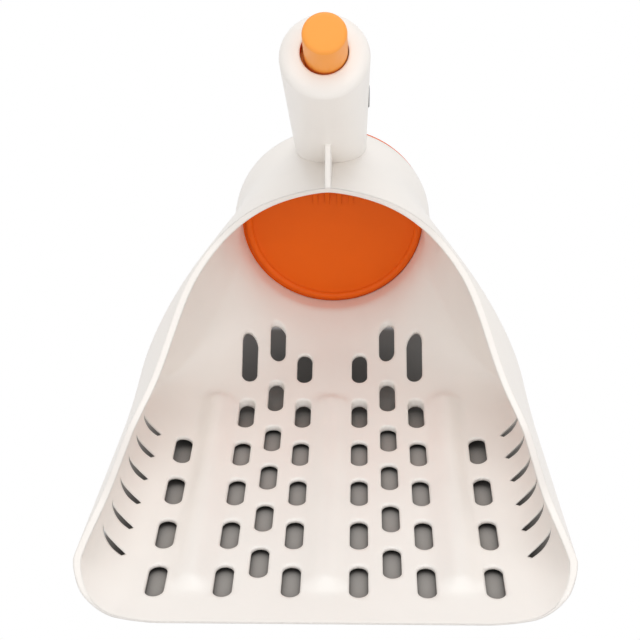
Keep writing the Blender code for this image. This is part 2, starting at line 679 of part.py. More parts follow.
def build_plunger():
    flange_top = HANDLE_LENGTH - HANDLE_END_WALL - GAP
    flange_low = flange_top - BUTTON_FLANGE_THICKNESS
    socket_top = flange_low + BUTTON_SOCKET_DEPTH
    socket_radius = ROD_RADIUS + BUTTON_SIDE_PLAY + GAP
    edge = arc((BUTTON_RADIUS - BUTTON_EDGE, BUTTON_TOP - BUTTON_EDGE), BUTTON_EDGE, 0.0, 90.0, 4)
    profile = [(socket_radius * 0.3, socket_top), (socket_radius, socket_top), (socket_radius, flange_low),
               (BUTTON_FLANGE_RADIUS, flange_low), (BUTTON_FLANGE_RADIUS, flange_top),
               (BUTTON_RADIUS, flange_top)] + edge + [(BUTTON_RADIUS * 0.5, BUTTON_TOP)]
    button = turned("push_button", profile, HANDLE_FRAME, lay=Matrix.Translation((BUTTON_SIDE_PLAY, 0.0, 0.0)))
    painted(button, (0.85, 0.33, 0.06), 0.4)
    knob = knob_place()
    rest = HANDLE_FRAME.inverted() @ (HINGE + Vector((0.0, *knob)))
    rod_low = rest.z + KNOB_RADIUS + GAP
    chamfer = 0.0004
    profile = [(ROD_RADIUS - chamfer, rod_low), (ROD_RADIUS, rod_low + chamfer),
               (ROD_RADIUS, socket_top - GAP - chamfer), (ROD_RADIUS - chamfer, socket_top - GAP)]
    rod = turned("push_rod", profile, HANDLE_FRAME, steps=24)
    painted(rod, (0.75, 0.74, 0.70), 0.45)
    bush_low = SPIGOT_TOP - BUSH_DEPTH
    flange = SPIGOT_TOP + GAP
    bore = ROD_RADIUS + SLIDE_CLEARANCE
    body = SPIGOT_BORE_RADIUS - GAP
    profile = [(bore, bush_low), (body, bush_low), (body, flange), (BUSH_FLANGE_RADIUS, flange),
               (BUSH_FLANGE_RADIUS, flange + BUSH_FLANGE_THICKNESS), (bore, flange + BUSH_FLANGE_THICKNESS)]
    bush = turned("rod_bush", profile, HANDLE_FRAME, hollow=True, steps=32)
    painted(bush, (0.75, 0.74, 0.70), 0.45)
    build_return_spring(flange + BUSH_FLANGE_THICKNESS, flange_low)


def build_return_spring(low, high):
    first = low + GAP + SPRING_WIRE / 2
    last = high - GAP - SPRING_WIRE / 2
    count = SPRING_TURNS * CURL_STEPS
    path = []
    for k in range(count + 1):
        turn = 2.0 * math.pi * k / CURL_STEPS
        across = (SPRING_MEAN_RADIUS * math.cos(turn), SPRING_MEAN_RADIUS * math.sin(turn))
        path.append((*across, mix(first, last, k / count)))
    spring = swept("return_spring", path, SPRING_WIRE / 2, HANDLE_FRAME)
    painted(spring, (0.60, 0.60, 0.62), 0.3, 1.0)
    print("return_spring least self gap mm %.2f" % (1000 * least_self_gap(path, SPRING_WIRE)))


# Flap pieces, measured from the hinge
def knob_place():
    """Lever knob at rest: half the swing above and half below square to the push rod."""
    angle = HANDLE_TILT + math.pi - OPEN_ANGLE / 2
    return Vector((LEVER_RADIUS * math.cos(angle), LEVER_RADIUS * math.sin(angle)))


def build_flap():
    front = NECK_REAR_Y + GAP - HINGE.y
    back = front + LID_THICKNESS
    drop = NECK_AXIS_Z - HINGE.z
    inner_rim = LID_RADIUS - LID_RIM_WIDTH
    profile = [(TURNED_CAP_RADIUS, front), (BEAD_RADII[0], front), (BEAD_RADII[0], front - BEAD_HEIGHT),
               (BEAD_RADII[1], front - BEAD_HEIGHT), (BEAD_RADII[1], front), (LID_RADIUS, front),
               (LID_RADIUS, back + LID_RIM_HEIGHT), (inner_rim, back + LID_RIM_HEIGHT), (inner_rim, back),
               (TURNED_CAP_RADIUS, back)]
    shift = Matrix.Translation((FLAP_SIDE_PLAY, 0.0, 0.0))
    flap = turned("flap_door", profile, FLAP_FRAME, steps=BIG_STEPS,
                  lay=shift @ Matrix.Translation((0.0, 0.0, drop)) @ ALONG_Y)
    join(flap, flap_barrels(shift, front, back, drop))
    join(flap, flap_ribs(shift, front, back, drop))
    knob = knob_place()
    lay = shift @ Matrix.Translation((0.0, *knob)) @ ALONG_X
    ends = [(KNOB_RADIUS, -KNOB_HALF_LENGTH), (KNOB_RADIUS, KNOB_HALF_LENGTH)]
    join(flap, turned("lever_knob", ends, FLAP_FRAME, steps=20, lay=lay))
    cut(flap, pin_hole("flap_pin_hole", BARREL_X[1] + CUT_MARGIN))
    painted(flap, (0.72, 0.16, 0.02), 0.4)


def flap_barrels(shift, front, back, drop):
    """Two hinge barrels with webs down to the lid."""
    web_low = drop + LID_RADIUS - WEB_DEPTH
    web_top = drop + LID_RADIUS - SMALL_SINK
    web_front = front + SMALL_SINK
    rim_back = back + LID_RIM_HEIGHT - SMALL_SINK
    outline = [(web_front, web_low), (web_front, web_top)]
    outline += arc((0.0, 0.0), BARREL_RADIUS, 150.0, -60.0, 14)
    outline += [(rim_back, web_low + WEB_SLOPE), (back - SMALL_SINK, web_low)]
    bm = bmesh.new()
    for side in (-1, 1):
        add_prism(bm, outline, side * BARREL_X[0], side * BARREL_X[1])
    bm.transform(shift)
    return finished("flap_barrels", bm, FLAP_FRAME)


def flap_ribs(shift, front, back, drop):
    """Stiffening ribs; the inner pair runs on to carry the lever knob."""
    low = RIB_LOW_Z - HINGE.z
    inside = front + LID_THICKNESS / 2
    knob = knob_place()
    bm = bmesh.new()
    for x in RIB_X:
        if abs(x) < SLOT_HALF_WIDTH:
            arm_end = knob.x + SINK
            arm_top = knob.y + SMALL_SINK
            outline = [(inside, low), (front - RIB_FOOT, low), (front - RIB_REACH, knob.y - RIB_KNEE[1]),
                       (arm_end, knob.y - KNOB_RADIUS + SINK), (arm_end, arm_top), (inside, arm_top)]
        else:
            top = drop + math.sqrt(BORE_RADIUS ** 2 - (abs(x) + RIB_WIDTH) ** 2) - RIB_TOP_ROOM
            outline = [(inside, low), (front - RIB_FOOT, low), (front - RIB_REACH, top - RIB_KNEE[0]),
                       (front - RIB_REACH, top), (inside, top)]
        add_prism(bm, outline, x - RIB_WIDTH / 2, x + RIB_WIDTH / 2)
    bm.transform(shift)
    return finished("flap_ribs", bm, FLAP_FRAME)


def build_hinge_pin():
    half = LUG_X[1] + GAP
    chamfer = 0.0003
    profile = [(PIN_RADIUS - chamfer, -half), (PIN_RADIUS, chamfer - half),
               (PIN_RADIUS, half - chamfer), (PIN_RADIUS - chamfer, half)]
    pin = turned("hinge_pin", profile, FLAP_FRAME, steps=16, lay=ALONG_X)
    painted(pin, (0.62, 0.62, 0.64), 0.3, 1.0)


def tangent_angle(point, radius, side):
    """Where a straight leg from a point meets a coil."""
    away = math.hypot(*point)
    return math.atan2(point[1], point[0]) + side * math.acos(radius / away)


def build_flap_spring():
    radius = TORSION_MEAN_RADIUS
    clear = GAP + TORSION_WIRE / 2
    lid_back = NECK_REAR_Y + GAP + LID_THICKNESS - HINGE.y
    lid_end = (lid_back + clear, TORSION_LID_Z - HINGE.z)
    neck_z = NECK_AXIS_Z + math.sqrt(NECK_RADIUS ** 2 - TORSION_NECK_X ** 2) + clear
    neck_end = (TORSION_NECK_Y - HINGE.y, neck_z - HINGE.z)
    upper = tangent_angle(neck_end, radius, -1.0) % (2.0 * math.pi)
    end = tangent_angle(lid_end, radius, 1.0) % (2.0 * math.pi) - 2.0 * math.pi
    total = (upper - end) + 2.0 * math.pi * (TORSION_TURNS - 1)
    count = int(round(total / (2.0 * math.pi) * CURL_STEPS))
    leave = (radius * math.cos(upper), radius * math.sin(upper))
    bend_share = 0.45
    bend = (mix(leave[0], neck_end[0], bend_share), mix(leave[1], neck_end[1], bend_share))
    path = [(TORSION_NECK_X, *neck_end), (-TORSION_HALF_SPAN, *bend)]
    for k in range(count + 1):
        turn = upper - total * k / count
        x = mix(-TORSION_HALF_SPAN, TORSION_HALF_SPAN, k / count)
        path.append((x, radius * math.cos(turn), radius * math.sin(turn)))
    path.append((TORSION_HALF_SPAN, *lid_end))
    spring = swept("flap_spring", path, TORSION_WIRE / 2, FLAP_FRAME)
    painted(spring, (0.60, 0.60, 0.62), 0.3, 1.0)
    print("flap_spring least self gap mm %.2f" % (1000 * least_self_gap(path, TORSION_WIRE)))


for old in list(bpy.data.objects):
    bpy.data.objects.remove(old, do_unlink=True)

build_pan()
build_handle()
build_screws()
build_plunger()
build_flap()
build_hinge_pin()
build_flap_spring()
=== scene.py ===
"""Looks of the sifting hand scoop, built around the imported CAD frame.

The shells are lofted again with the sections of the CAD, only finer,
so that edges and curves read as moulded plastic.
"""
import json
import math

import bmesh
import bpy
import numpy as np
from mathutils import Matrix, Vector

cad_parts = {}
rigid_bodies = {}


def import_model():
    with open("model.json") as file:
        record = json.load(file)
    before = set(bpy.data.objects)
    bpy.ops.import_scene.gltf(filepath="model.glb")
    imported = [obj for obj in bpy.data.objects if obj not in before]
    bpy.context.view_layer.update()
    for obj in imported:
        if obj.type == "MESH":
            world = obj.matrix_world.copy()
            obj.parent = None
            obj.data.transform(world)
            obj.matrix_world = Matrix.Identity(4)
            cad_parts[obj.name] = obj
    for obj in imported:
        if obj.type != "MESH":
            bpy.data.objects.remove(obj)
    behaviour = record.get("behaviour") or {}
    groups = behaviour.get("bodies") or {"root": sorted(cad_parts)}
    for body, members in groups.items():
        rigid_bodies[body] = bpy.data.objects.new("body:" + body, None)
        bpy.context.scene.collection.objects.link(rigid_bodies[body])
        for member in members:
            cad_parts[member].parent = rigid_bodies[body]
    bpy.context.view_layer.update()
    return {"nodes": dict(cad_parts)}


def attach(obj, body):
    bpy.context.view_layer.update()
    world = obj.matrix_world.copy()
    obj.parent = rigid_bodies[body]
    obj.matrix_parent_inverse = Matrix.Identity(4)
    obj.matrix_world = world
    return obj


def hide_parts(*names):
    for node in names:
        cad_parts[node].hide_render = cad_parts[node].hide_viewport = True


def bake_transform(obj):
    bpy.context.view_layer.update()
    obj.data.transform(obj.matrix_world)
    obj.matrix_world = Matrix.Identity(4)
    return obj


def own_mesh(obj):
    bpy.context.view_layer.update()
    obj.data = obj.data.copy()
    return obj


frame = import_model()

# Fits
GAP = 0.0003
PIN_CLEARANCE = 0.0002
CUT_OVERRUN = 0.050
CUT_MARGIN = 0.004
SINK = 0.0005
SMALL_SINK = 0.0002
TURNED_CAP_RADIUS = 0.003

# Pan shell
WALL = 0.0024
FLOOR_FRONT_Y = -0.0555
EDGE_THICKNESS = 0.0005
EDGE_TAPER_Y = -0.0423
# Floor curves: start, radius, steepest angle
UNDERSIDE = (0.0485, 0.037, math.radians(27.0))
FLOOR_TOP = (0.0305, 0.112, math.radians(29.0))
# Sections along the pan
FRONT_HALF_WIDTH = 0.0735
SIDE_TAPER = 0.06
FRONT_CORNER_WIDTH = 0.0137
CORNER_GROWTH = 0.22
BULGE_HEIGHT = 0.0137
FRONT_SQUARENESS = 1.22
HOOD_SQUARENESS = 1.70
NECK_SQUARENESS = 2.0
WIDTH_BLEND_Y = (0.0480, 0.0926)
HEIGHT_BLEND_Y = (0.0585, 0.0988)
SHAPE_BLEND_Y = (0.0185, 0.0710)
PAN_Y = (-0.058, 0.1025)
STATIONS = 110
HALF_STEPS = 116
OUTLINE_SAMPLES = 220
TURN_WEIGHT = 1.2
MERGE_DISTANCE = 1e-6

# Neck
NECK_RADIUS = 0.0357
NECK_AXIS_Z = 0.0554
NECK_REAR_Y = PAN_Y[1]
NECK_TOP_Z = NECK_AXIS_Z + NECK_RADIUS
BORE_RADIUS = NECK_RADIUS - WALL
MID_WALL_RADIUS = NECK_RADIUS - WALL / 2

# Mouth edge in side view
SIDE_WALL_Z = 0.0252
NOSE_LENGTH = 0.0024
NOSE_PLAN_X = (0.046, 0.071)
NOSE_PLAN_REACH = 0.0137
NOSE_PLAN_POWER = 1.9
NOSE_PLAN_STEPS = 22
NOSE_LIFT = 0.0002
FRONT_CURVE = ((FLOOR_FRONT_Y + NOSE_LENGTH, WALL + 2 * NOSE_LIFT), (-0.0405, 0.0128),
               (-0.0370, SIDE_WALL_Z), (-0.0185, SIDE_WALL_Z))
HOOD_BACK_Y = 0.0570
HOOD_CURVE = ((0.0055, SIDE_WALL_Z), (0.0195, SIDE_WALL_Z),
              (HOOD_BACK_Y, NECK_TOP_Z - 0.0347), (HOOD_BACK_Y, NECK_TOP_Z - 0.0187))
LIP_CURVE = (HOOD_CURVE[-1], (HOOD_BACK_Y, NECK_TOP_Z - 0.0107),
             (0.0545, NECK_TOP_Z - 0.0057), (0.0465, NECK_TOP_Z + 0.0023))
CURVE_STEPS = 36

# Sieve slots and side slits
SLOT_WIDTH = 0.0056
SLOT_LENGTH = 0.0143
SLOT_PITCH = 0.0220
SLOT_FIRST_Y = -0.0445
SLOT_STAGGER = 0.00856
# Columns of slots: distance from the middle, stagger, count, length of the last
SLOT_COLUMNS = ((0.010, 0.0, 6, 0.0120), (0.020, SLOT_STAGGER, 6, 0.0118),
                (0.030, 0.0, 6, SLOT_LENGTH), (0.050, 0.0, 4, SLOT_LENGTH))
SLOT_CUT_LOW = -0.010
# Flare of a slot: height from the floor, growth
SLOT_FLARE = ((-0.0006, 0.0), (-0.0003, 0.00006), (-0.0001, 0.00020), (0.0, 0.00040), (0.003, 0.00050))
SLOT_STEPS = 12
SLIT_WIDTH = 0.0038
SLIT_COUNT = 6
SLIT_FIRST_Y = -0.0259
SLIT_PITCH = 0.0129
SLIT_INNER_X = 0.0620
SLIT_CONVERGE = 0.0004
SLIT_RUN = (0.0078, 0.0150)
SLIT_SHRINK = 0.035
SLIT_BOW = 1.8
SLIT_TAPER = 0.8
SLIT_BLUNT = 0.6
SLIT_WIDEST = 0.3
SLIT_TIP = (0.0013, 0.0005)
SLIT_LEAN = 1.35
SLIT_SPREAD = 0.27
SLIT_LEVEL_Z = 0.003
SLIT_CUT_Z = (-0.010, 0.0205)
SLIT_STEPS = 16

# Hollow under the floor, so that the slots have thin edges
HOLLOW_DEPTH = 0.0012
HOLLOW_X = (0.0535, 0.0570)
HOLLOW_FRONT_Y = (-0.0500, -0.0465)
HOLLOW_BACK_Y = (0.0800, 0.0870)

# Floor ridges
RIDGE_X = (-0.040, 0.0, 0.040)
RIDGE_HALF_WIDTH = 0.0066
RIDGE_HEIGHT = 0.0028
RIDGE_Y = (-0.0435, 0.0610)
RIDGE_LOW_SIDE = 0.030
RIDGE_FLANK = (0.15, 1.0)

# Handle
HANDLE_FOOT = Vector((0.0, NECK_REAR_Y - 0.013, NECK_TOP_Z))
HANDLE_TILT = math.radians(49.0)
HANDLE_RADIUS = 0.01245
HANDLE_TOP_RADIUS = 0.0135
HANDLE_BORE_RADIUS = 0.0103
HANDLE_LENGTH = 0.0761
HANDLE_END_WALL = 0.004
HANDLE_END_ROUND = 0.006
HANDLE_END_RISE = 0.0040
HANDLE_DOME_ARC = 88.0
HANDLE_DOME_STEPS = 24
HANDLE_HOLE_RADIUS = 0.0072
HANDLE_HOLE_DIP = 0.0001
HANDLE_LOW = -0.022
FOOT_SINK = 0.0004
NOTCH_Y = NECK_REAR_Y - 0.0055
GUSSET_THICKNESS = 0.0020
GUSSET_FRONT_Y = 0.0488
GUSSET_TOP = 0.0122
SPIGOT_RADIUS = HANDLE_BORE_RADIUS - GAP
SPIGOT_BORE_RADIUS = 0.0070
SPIGOT_TOP = 0.036

# Plunger and springs
BUTTON_RADIUS = HANDLE_HOLE_RADIUS - 0.0007
BUTTON_SIDE_PLAY = 0.0004
BUTTON_TOP = 0.0894
BUTTON_EDGE = 0.0012
BUTTON_EDGE_STEPS = 12
BUTTON_CAP_RADII = (0.0037, BUTTON_RADIUS / 2)
BUTTON_FLANGE_RADIUS = HANDLE_BORE_RADIUS - BUTTON_SIDE_PLAY - GAP
BUTTON_FLANGE_THICKNESS = 0.0025
BUTTON_TRAVEL = 0.0128
BUSH_FLANGE_THICKNESS = 0.0020
SPRING_WIRE = 0.0009
SPRING_MEAN_RADIUS = 0.0060
SPRING_TURNS = 8
TORSION_WIRE = 0.0008
TORSION_MEAN_RADIUS = 0.00245
TORSION_HALF_SPAN = 0.0028
TORSION_TURNS = 4
TORSION_BEND = 0.45
TORSION_LID_DROP = 0.0121
TORSION_NECK_X = -0.0058
TORSION_NECK_Y = NECK_REAR_Y - 0.0038
CURL_STEPS = 28
WIRE_SIDES = 10

# Grip pad
PAD_LENGTH = (0.0170, 0.0438)
PAD_HALF_ANGLE = math.radians(74.0)
PAD_PROUD = 0.0018
PAD_RECESS_RADIUS = 0.0120
PAD_CORNER = 0.007
PAD_EDGE = 0.0003
PAD_ARC_STEPS = 40
PAD_END_STEPS = 12

# Flap and hinge
HINGE = Vector((0.0, NECK_REAR_Y + 0.005, NECK_TOP_Z + 0.0014))
HINGE_ROOM = 0.0052
PIN_RADIUS = 0.0015
PIN_STEPS = 32
BARREL_RADIUS = 0.0030
LUG_X = (0.0090, 0.0120)
LUG_FOOT_Y = NECK_REAR_Y - 0.0048
LUG_ARC = (-90.0, 110.0)
LUG_STEPS = 28
BARREL_X = (0.0042, 0.0083)
BARREL_ARC = (150.0, -60.0)
BARREL_STEPS = 36
WEB_DEPTH = 0.005
WEB_INSET = 0.0003
WEB_SLOPE = 0.001
LEVER_SLOT_HALF_WIDTH = 0.0042
LEVER_SLOT_FRONT_Y = NECK_REAR_Y - 0.0182
LEVER_SLOT_RISE = 0.0006
OPEN_ANGLE = math.radians(56.0)
FLAP_SIDE_PLAY = 0.0004
LID_RADIUS = NECK_RADIUS - 0.0010
LID_THICKNESS = 0.0020
LID_RIM_WIDTH = 0.0020
LID_RIM_HEIGHT = 0.0013
BEAD_RADII = (BORE_RADIUS - 0.0033, BORE_RADIUS - 0.0004)
BEAD_HEIGHT = 0.0012
BEAD_STEPS = 12
LID_DOME = 0.0010
LID_DOME_STEPS = 10
LEVER_RADIUS = BUTTON_TRAVEL / (2.0 * math.sin(OPEN_ANGLE / 2))
KNOB_RADIUS = 0.0020
KNOB_HALF_LENGTH = 0.0032
KNOB_STEPS = 40
RIB_X = (-0.0065, -0.0022, 0.0022, 0.0065)
RIB_WIDTH = 0.0018
RIB_LOW_Z = NECK_AXIS_Z + 0.006
RIB_REACH = 0.0042
RIB_FOOT = 0.0008
RIB_KNEE = (0.006, 0.012)
RIB_TOP_ROOM = 0.0008
ARM_TOP_RISE = 0.0003
ARM_LOW_RISE = 0.0004

ROUND_STEPS = 112
BIG_STEPS = 192
SMOOTH_ANGLE = math.radians(38.0)

ALONG_X = Matrix.Rotation(math.pi / 2, 4, "Y")
ALONG_Y = Matrix.Rotation(-math.pi / 2, 4, "X")
HANDLE_FRAME = Matrix.Translation(HANDLE_FOOT) @ Matrix.Rotation(HANDLE_TILT, 4, "X")
FLAP_FRAME = Matrix.Translation(HINGE)
NECK_LAY = Matrix.Translation((0.0, 0.0, NECK_AXIS_Z)) @ ALONG_Y


def smooth(value, span):
    """Ease from 0 to 1 across a span."""
    t = min(max((value - span[0]) / (span[1] - span[0]), 0.0), 1.0)
    return t * t * (3.0 - 2.0 * t)


def mix(a, b, t):
    """A share t of the way from a to b."""
    return a * (1.0 - t) + b * t


# Mesh helpers
def circle(radius, height, steps):
    turns = [2.0 * math.pi * (k + 0.5) / steps for k in range(steps)]
    return [(radius * math.cos(t), radius * math.sin(t), height) for t in turns]


def arc(centre, radius, start, end, steps):
    turns = [math.radians(mix(start, end, k / steps)) for k in range(steps + 1)]
    return [(centre[0] + radius * math.cos(t), centre[1] + radius * math.sin(t)) for t in turns]


def add_loft(bm, rings, wrap=False):
    """Skin closed rings; the ends are capped unless the rings wrap round."""
    loops = [[bm.verts.new(point) for point in ring] for ring in rings]
    pairs = list(zip(loops, loops[1:]))
    if wrap:
        pairs.append((loops[-1], loops[0]))
    else:
        bm.faces.new(loops[0])
        bm.faces.new(loops[-1])
    for low, high in pairs:
        for i in range(len(low)):
            j = (i + 1) % len(low)
            bm.faces.new((low[i], low[j], high[j], high[i]))


def add_prism(bm, outline, x_low, x_high):
    """Extrude a (y, z) outline along X."""
    add_loft(bm, [[(x, y, z) for y, z in outline] for x in (x_low, x_high)])


def finished(name, bm, place=Matrix()):
    bmesh.ops.recalc_face_normals(bm, faces=bm.faces)
    mesh = bpy.data.meshes.new(name)
    bm.to_mesh(mesh)
    bm.free()
    obj = bpy.data.objects.new(name, mesh)
    bpy.context.scene.collection.objects.link(obj)
    obj.matrix_world = place
    return obj


def turned(name, profile, place=Matrix(), hollow=False, steps=ROUND_STEPS, lay=Matrix()):
    """Turn a (radius, height) profile about Z, then lay it along another axis."""
    bm = bmesh.new()
    add_loft(bm, [circle(radius, height, steps) for radius, height in profile], wrap=hollow)
    bm.transform(lay)
    return finished(name, bm, place)


def boxed(name, low, high):
    bm = bmesh.new()
    outline = [(low[1], low[2]), (high[1], low[2]), (high[1], high[2]), (low[1], high[2])]
    add_prism(bm, outline, low[0], high[0])
    return finished(name, bm)


def boolean(target, tool, operation):
    modifier = target.modifiers.new(tool.name, "BOOLEAN")
    modifier.operation = operation
    modifier.object = tool
    modifier.solver = "EXACT"
    tool["cutter"] = True


def join(target, tool):
    boolean(target, tool, "UNION")


def cut(target, tool):
    boolean(target, tool, "DIFFERENCE")


def baked(obj):
    """Apply the modifiers and shade smooth, with edges kept where two faces meet sharply."""
    bpy.context.view_layer.update()
    graph = bpy.context.evaluated_depsgraph_get()
    mesh = bpy.data.meshes.new_from_object(obj.evaluated_get(graph))
    obj.modifiers.clear()
    obj.data = mesh
    mesh.polygons.foreach_set("use_smooth", [True] * len(mesh.polygons))
    mesh.set_sharp_from_angle(angle=SMOOTH_ANGLE)
    return obj


def remove_cutters():
    for obj in list(bpy.data.objects):
        if obj.get("cutter"):
            bpy.data.objects.remove(obj, do_unlink=True)


# Pan sections
def floor_rise(y, curve):
    """Height that a floor curve (start, radius, steepest angle) has gained at a station."""
    start, radius, steepest = curve
    run = max(y - start, 0.0)
    arc_run = radius * math.sin(steepest)
    if run < arc_run:
        return radius - math.sqrt(radius ** 2 - run ** 2)
    arc_rise = radius * (1.0 - math.cos(steepest))
    return min(arc_rise + (run - arc_run) * math.tan(steepest), NECK_AXIS_Z - NECK_RADIUS)


def half_section(y, inset):
    """Half outline of the pan at one station, from the middle of the floor over to the crown."""
    to_neck = smooth(y, WIDTH_BLEND_Y)
    rise = floor_rise(y, UNDERSIDE if inset < WALL else FLOOR_TOP)
    side = FRONT_HALF_WIDTH - SIDE_TAPER * (y - FLOOR_FRONT_Y)
    width = mix(side, NECK_RADIUS, to_neck) - inset
    bulge = mix(BULGE_HEIGHT, NECK_AXIS_Z, smooth(y, HEIGHT_BLEND_Y))
    broad = FRONT_CORNER_WIDTH + CORNER_GROWTH * (y - FLOOR_FRONT_Y)
    corner = mix(broad, NECK_RADIUS, rise / (NECK_AXIS_Z - NECK_RADIUS)) - inset
    hood = mix(FRONT_SQUARENESS, HOOD_SQUARENESS, smooth(y, SHAPE_BLEND_Y))
    power = 2.0 / mix(hood, NECK_SQUARENESS, to_neck)
    low = rise + inset
    top = NECK_TOP_Z - inset
    corner = min(corner, width)
    flat = width - corner
    angle = np.linspace(0.0, math.pi / 2, OUTLINE_SAMPLES)
    floor = np.column_stack((np.linspace(0.0, flat, OUTLINE_SAMPLES), np.full(OUTLINE_SAMPLES, low)))
    turn = np.column_stack((flat + corner * np.sin(angle), bulge - (bulge - low) * np.cos(angle)))
    cosine = np.clip(np.cos(angle), 0.0, 1.0)
    upper = np.column_stack((width * cosine ** power, bulge + (top - bulge) * np.sin(angle) ** power))
    return np.vstack((floor, turn, upper))


def resampled(points, steps):
    """Spread points along an outline by both its length and its turning."""
    keep = np.r_[True, np.linalg.norm(np.diff(points, axis=0), axis=1) > MERGE_DISTANCE]
    points = points[keep]
    edge = np.diff(points, axis=0)
    length = np.linalg.norm(edge, axis=1)
    heading = np.unwrap(np.arctan2(edge[:, 1], edge[:, 0]))
    turning = np.abs(np.diff(heading, prepend=heading[0]))
    measure = length / length.sum() + TURN_WEIGHT * turning / turning.sum()
    along = np.r_[0.0, np.cumsum(measure)]
    wanted = np.linspace(0.0, along[-1], steps + 1)
    return np.column_stack((np.interp(wanted, along, points[:, 0]), np.interp(wanted, along, points[:, 1])))


def floor_height(x, y):
    """Height of the inner floor, its turned-up sides included."""
    section = half_section(y, WALL)[:2 * OUTLINE_SAMPLES]
    return float(np.interp(abs(x), section[:, 0], section[:, 1]))


def ridge_rise(x, y):
    """Soft ridges that run along the floor between the slots."""
    nearest = min(abs(x - ridge) for ridge in RIDGE_X)
    past = max(RIDGE_Y[0] + RIDGE_HALF_WIDTH - y, y - RIDGE_Y[1] + RIDGE_HALF_WIDTH, 0.0)
    away = math.hypot(nearest, past) / RIDGE_HALF_WIDTH
    return RIDGE_HEIGHT * (1.0 - smooth(away, RIDGE_FLANK))


def edge_inset(y):
    """How far the outside is drawn in to thin the floor towards its front edge."""
    share = min(max((y - FLOOR_FRONT_Y) / (EDGE_TAPER_Y - FLOOR_FRONT_Y), 0.0), 1.0)
    return (WALL - EDGE_THICKNESS) * (1.0 - share)


def underside_rise(x, y):
    """How far the hollow lifts the underside."""
    along = smooth(y, HOLLOW_FRONT_Y) * (1.0 - smooth(y, HOLLOW_BACK_Y))
    return HOLLOW_DEPTH * along * (1.0 - smooth(abs(x), HOLLOW_X))


def pan_ring(y, inset, detail):
    """One ring of the pan, its floor raised by a detail such as a ridge."""
    half = resampled(half_section(y, inset), HALF_STEPS)
    half[0, 0] = 0.0
    half[-1, 0] = 0.0
    half[:, 1] += [detail(x, y) if z < RIDGE_LOW_SIDE else 0.0 for x, z in half]
    right = [(x, y, z) for x, z in half]
    left = [(-x, y, z) for x, z in half[-2:0:-1]]
    return right + left


# Pan pieces
def neck_rod(name, radius):
    """A rod along the neck whose flats lie at the radius."""
    reach = radius / math.cos(math.pi / BIG_STEPS)
    return turned(name, [(reach, 0.0), (reach, NECK_REAR_Y + CUT_OVERRUN)], steps=BIG_STEPS, lay=NECK_LAY)


def bezier(ends):
    """Points along a cubic curve given by its four control points."""
    points = []
    for k in range(CURVE_STEPS + 1):
        t = k / CURVE_STEPS
        weights = ((1 - t) ** 3, 3 * t * (1 - t) ** 2, 3 * t * t * (1 - t), t ** 3)
        points.append(tuple(sum(w * p[axis] for w, p in zip(weights, ends)) for axis in (0, 1)))
    return points


def rim_cutter():
    """Takes away all that lies ahead of the mouth's edge."""
    far_y = PAN_Y[0] - CUT_OVERRUN
    edge = bezier(FRONT_CURVE) + bezier(HOOD_CURVE) + bezier(LIP_CURVE)[1:]
    reach = FRONT_HALF_WIDTH + CUT_OVERRUN
    half = [float(x) for x in np.linspace(*NOSE_PLAN_X, NOSE_PLAN_STEPS)] + [reach]
    rings = []
    for x in [-x for x in reversed(half)] + half:
        past = (min(abs(x), NOSE_PLAN_X[1]) - NOSE_PLAN_X[0]) / NOSE_PLAN_REACH
        nose_y = FLOOR_FRONT_Y + NOSE_LENGTH * past ** NOSE_PLAN_POWER
        nose = [(far_y, -CUT_OVERRUN), (nose_y, -CUT_OVERRUN), (nose_y, WALL + NOSE_LIFT)]
        kept = [(max(y, nose_y), z) for y, z in edge]
        rings.append([(x, y, z) for y, z in nose + kept + [(far_y, edge[-1][1])]])
    bm = bmesh.new()
    add_loft(bm, rings)
    return finished("rim_cutter", bm)


def stadium(x, y_near, y_far, half_width):
    """Outline of a slot with round ends."""
    far = arc((x, y_far - half_width), half_width, 0.0, 180.0, SLOT_STEPS)
    near = arc((x, y_near + half_width), half_width, 180.0, 360.0, SLOT_STEPS)
    return far + near


def add_slot(bm, x, near, length):
    """A slot cutter that flares where it meets the floor, for a rounded upper edge."""
    half = SLOT_WIDTH / 2
    rings = [[(u, v, SLOT_CUT_LOW) for u, v in stadium(x, near, near + length, half)]]
    for lift, grow in SLOT_FLARE:
        outline = stadium(x, near - grow, near + length + grow, half + grow)
        rings.append([(u, v, floor_height(u, v) + lift) for u, v in outline])
    add_loft(bm, rings)


def slit_outline(start, scale):
    """A crescent that climbs the side wall and runs out to a point at each end."""
    run_x = scale * SLIT_RUN[0]
    run_y = scale * SLIT_RUN[1]
    near, far = [], []
    for k in range(SLIT_STEPS):
        share = k / SLIT_STEPS
        x = start[0] + run_x * (1.0 - (1.0 - share) ** SLIT_BOW)
        y = start[1] + run_y * share
        swell = min(1.0, SLIT_BLUNT + (1.0 - SLIT_BLUNT) * share / SLIT_WIDEST)
        half = SLIT_WIDTH / 2 * swell * (1.0 - share) ** SLIT_TAPER
        near.append((x, y - half))
        far.append((x, y + half))
    low_tip = (start[0] - SLIT_TIP[0], start[1] - SLIT_TIP[1])
    high_tip = (start[0] + run_x, start[1] + run_y)
    return [low_tip] + near + [high_tip] + far[::-1]


